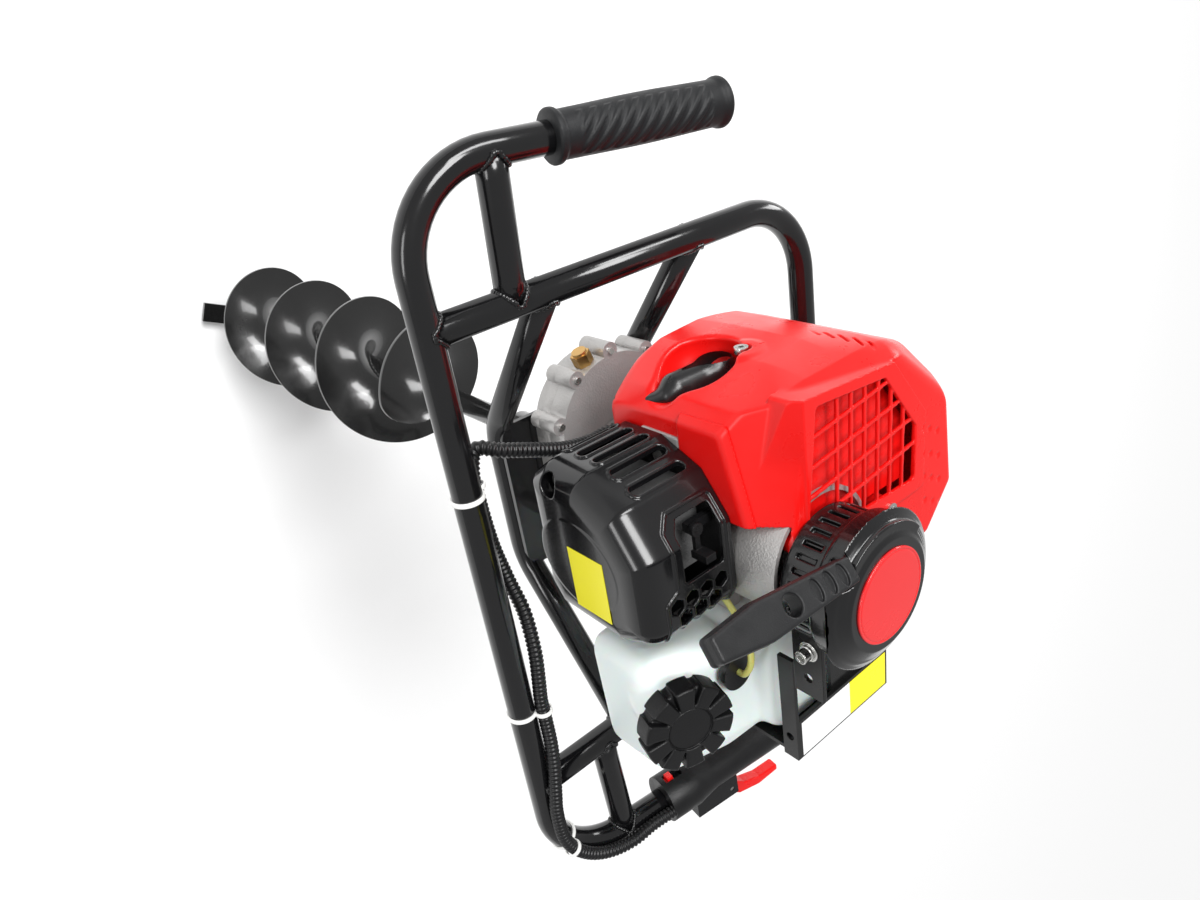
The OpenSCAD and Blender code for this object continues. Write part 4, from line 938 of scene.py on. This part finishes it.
def plate(name, x0, x1, y0, y1, z0, z1, mat, body="frame"):
    def field(p):
        return f_box(p, ((x0 + x1) / 2, (y0 + y1) / 2, (z0 + z1) / 2),
                     ((x1 - x0) / 2, (y1 - y0) / 2, (z1 - z0) / 2), 0.12)
    c = [(x0, y0, z0), (x1, y0, z0), (x1, y1, z0), (x0, y1, z0), (x0, y0, z1), (x1, y0, z1), (x1, y1, z1),
         (x0, y1, z1)]
    f = [(0, 3, 2, 1), (4, 5, 6, 7), (0, 1, 5, 4), (1, 2, 6, 5), (2, 3, 7, 6), (3, 0, 4, 7)]
    o = put(name, (np.array(c) + [0, 0, HOOP_Z]) * MM, f, mat, body, smooth=False)
    b = o.modifiers.new("soft edge", "BEVEL")
    b.width = 0.0001
    b.segments = 2
    return o


plate("label_left", 114.5, 142.5, -31, 19.4, 140.0, 140.3, "label_white")
plate("label_right", 114.5, 142.5, 19.6, 60, 140.0, 140.3, "label_yellow")
plate("sticker", -31, 12, -119.3, -118.9, 42, 75, "label_yellow")

# ---------------------------------------------------------------- CAD nodes that stay

KEPT = {
    "mounting_plate": "frame_paint", "throttle_housing": "black_plastic", "throttle_trigger": "red_plastic",
    "trigger_pin": "steel", "stop_switch": "red_plastic", "cable_ties": "nylon", "gearbox_case": "cast_alloy",
    "gearbox_cover": "machined", "gearbox_bolts": "zinc", "oil_plug": "brass", "gearbox_bearings": "steel",
    "output_shaft": "steel", "output_gear": "steel", "layshaft_gears": "steel", "clutch_drum": "steel",
    "clutch_housing": "cast_alloy", "clutch_shoes": "steel", "crankshaft": "steel", "flywheel": "cast_alloy",
    "crankcase": "cast_alloy", "cylinder_block": "cast_alloy", "piston": "cast_alloy",
    "spark_plug": "ceramic",
    "ignition_coil": "black_plastic", "muffler": "steel", "carburettor": "cast_alloy",
    "air_filter_base": "black_plastic", "air_filter_element": "filter_felt", "filter_cover_screw": "zinc",
    "choke_lever": "black_plastic", "fuel_tank": "tank_plastic", "tank_grommet": "boot_rubber",
    "starter_pulley": "nylon", "recoil_spring": "steel", "tank_guard_bracket": "sheet_steel",
    "support_bracket": "sheet_steel", "engine_screws": "zinc", "auger_shaft": "bit_paint",
    "cutting_blade": "bit_paint", "coupling_bolt": "zinc"}
BEVEL = {"gearbox_case": 1.2, "gearbox_cover": 1.4, "throttle_housing": 1.6, "mounting_plate": 0.8,
         "output_gear": 0.15, "layshaft_gears": 0.15, "crankcase": 1.2, "clutch_housing": 1.2,
         "carburettor": 1.5,
         "muffler": 3.0, "air_filter_base": 0.8, "tank_guard_bracket": 0.5, "cutting_blade": 0.4,
         "cable_ties": 0.3,
         "throttle_trigger": 1.2}
for name, mat in KEPT.items():
    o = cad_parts[name]
    o.data.materials.clear()
    o.data.materials.append(machined if mat == "machined" else MAT[mat])
    w = o.modifiers.new("join", "WELD")
    w.merge_threshold = 0.00001
    if name == "fuel_tank":
        r = o.modifiers.new("even", "REMESH")
        r.mode = "VOXEL"
        r.voxel_size = 0.0022
        r.use_smooth_shade = True
        s = o.modifiers.new("blown", "SMOOTH")
        s.iterations = 12
        s.factor = 0.5
        continue
    b = o.modifiers.new("edges", "BEVEL")
    b.width = BEVEL.get(name, 0.35) * MM
    b.segments = 2
    b.limit_method = "ANGLE"
    b.angle_limit = math.radians(38)
    b.harden_normals = False

# ---------------------------------------------------------------- room, light and camera

floor_me = bpy.data.meshes.new("floor")
floor_me.from_pydata([(-14, -14, 0), (14, -14, 0), (14, 14, 0), (-14, 14, 0)], [], [(0, 1, 2, 3)])
floor = bpy.data.objects.new("floor", floor_me)
bpy.context.scene.collection.objects.link(floor)
floor.location.z = -0.0005
fm, _, _, fb = new_material("pale_floor")
fb.inputs["Base Color"].default_value = (0.86, 0.86, 0.86, 1)
fb.inputs["Roughness"].default_value = 0.9
floor_me.materials.append(fm)

world = bpy.data.worlds.new("studio")
bpy.context.scene.world = world
world.use_nodes = True
world.node_tree.nodes["Background"].inputs["Color"].default_value = (1, 1, 1, 1)
world.node_tree.nodes["Background"].inputs["Strength"].default_value = 0.48


def softbox(name, place, target, size, power, color=(1, 1, 1)):
    l = bpy.data.lights.new(name, "AREA")
    l.shape = "RECTANGLE"
    l.size, l.size_y = size
    l.energy = power
    l.color = color
    o = bpy.data.objects.new(name, l)
    bpy.context.scene.collection.objects.link(o)
    o.location = place
    o.rotation_euler = (Vector(target) - Vector(place)).to_track_quat("-Z", "Y").to_euler()
    return o


softbox("key", (-1.9, 0.2, 2.3), (0, 0, 0.85), (1.3, 0.5), 30)
softbox("side", (-0.9, 2.4, 1.5), (0, 0, 0.85), (0.5, 1.2), 16)
softbox("back", (-0.5, -2.4, 1.6), (0, 0, 0.8), (1.2, 0.5), 14)
sun = bpy.data.lights.new("sky", "SUN")
sun.energy = 2.3
sun.angle = math.radians(25)
sky = bpy.data.objects.new("sky", sun)
bpy.context.scene.collection.objects.link(sky)
sky.rotation_euler = Vector((0.55, 0.12, -0.9)).to_track_quat("-Z", "Y").to_euler()
bpy.context.scene.view_settings.view_transform = "Standard"

CAMERA_PLACE = (-0.3165, -0.3583, 1.2703)
RIGHT = Vector((0.1522, 0.7600, 0.6318)).normalized()
AHEAD = Vector((0.4433, 0.5188, -0.7309)).normalized()
UP = RIGHT.cross(AHEAD).normalized()
AHEAD = UP.cross(RIGHT).normalized()
cam_data = bpy.data.cameras.new("camera")
cam = bpy.data.objects.new("camera", cam_data)
bpy.context.scene.collection.objects.link(cam)
cam_data.sensor_width = 36
cam_data.lens = 26.46
cam_data.clip_start = 0.01
cam.matrix_world = Matrix.Translation(CAMERA_PLACE) @ Matrix((RIGHT, UP, -AHEAD)).transposed().to_4x4()
bpy.context.scene.camera = cam
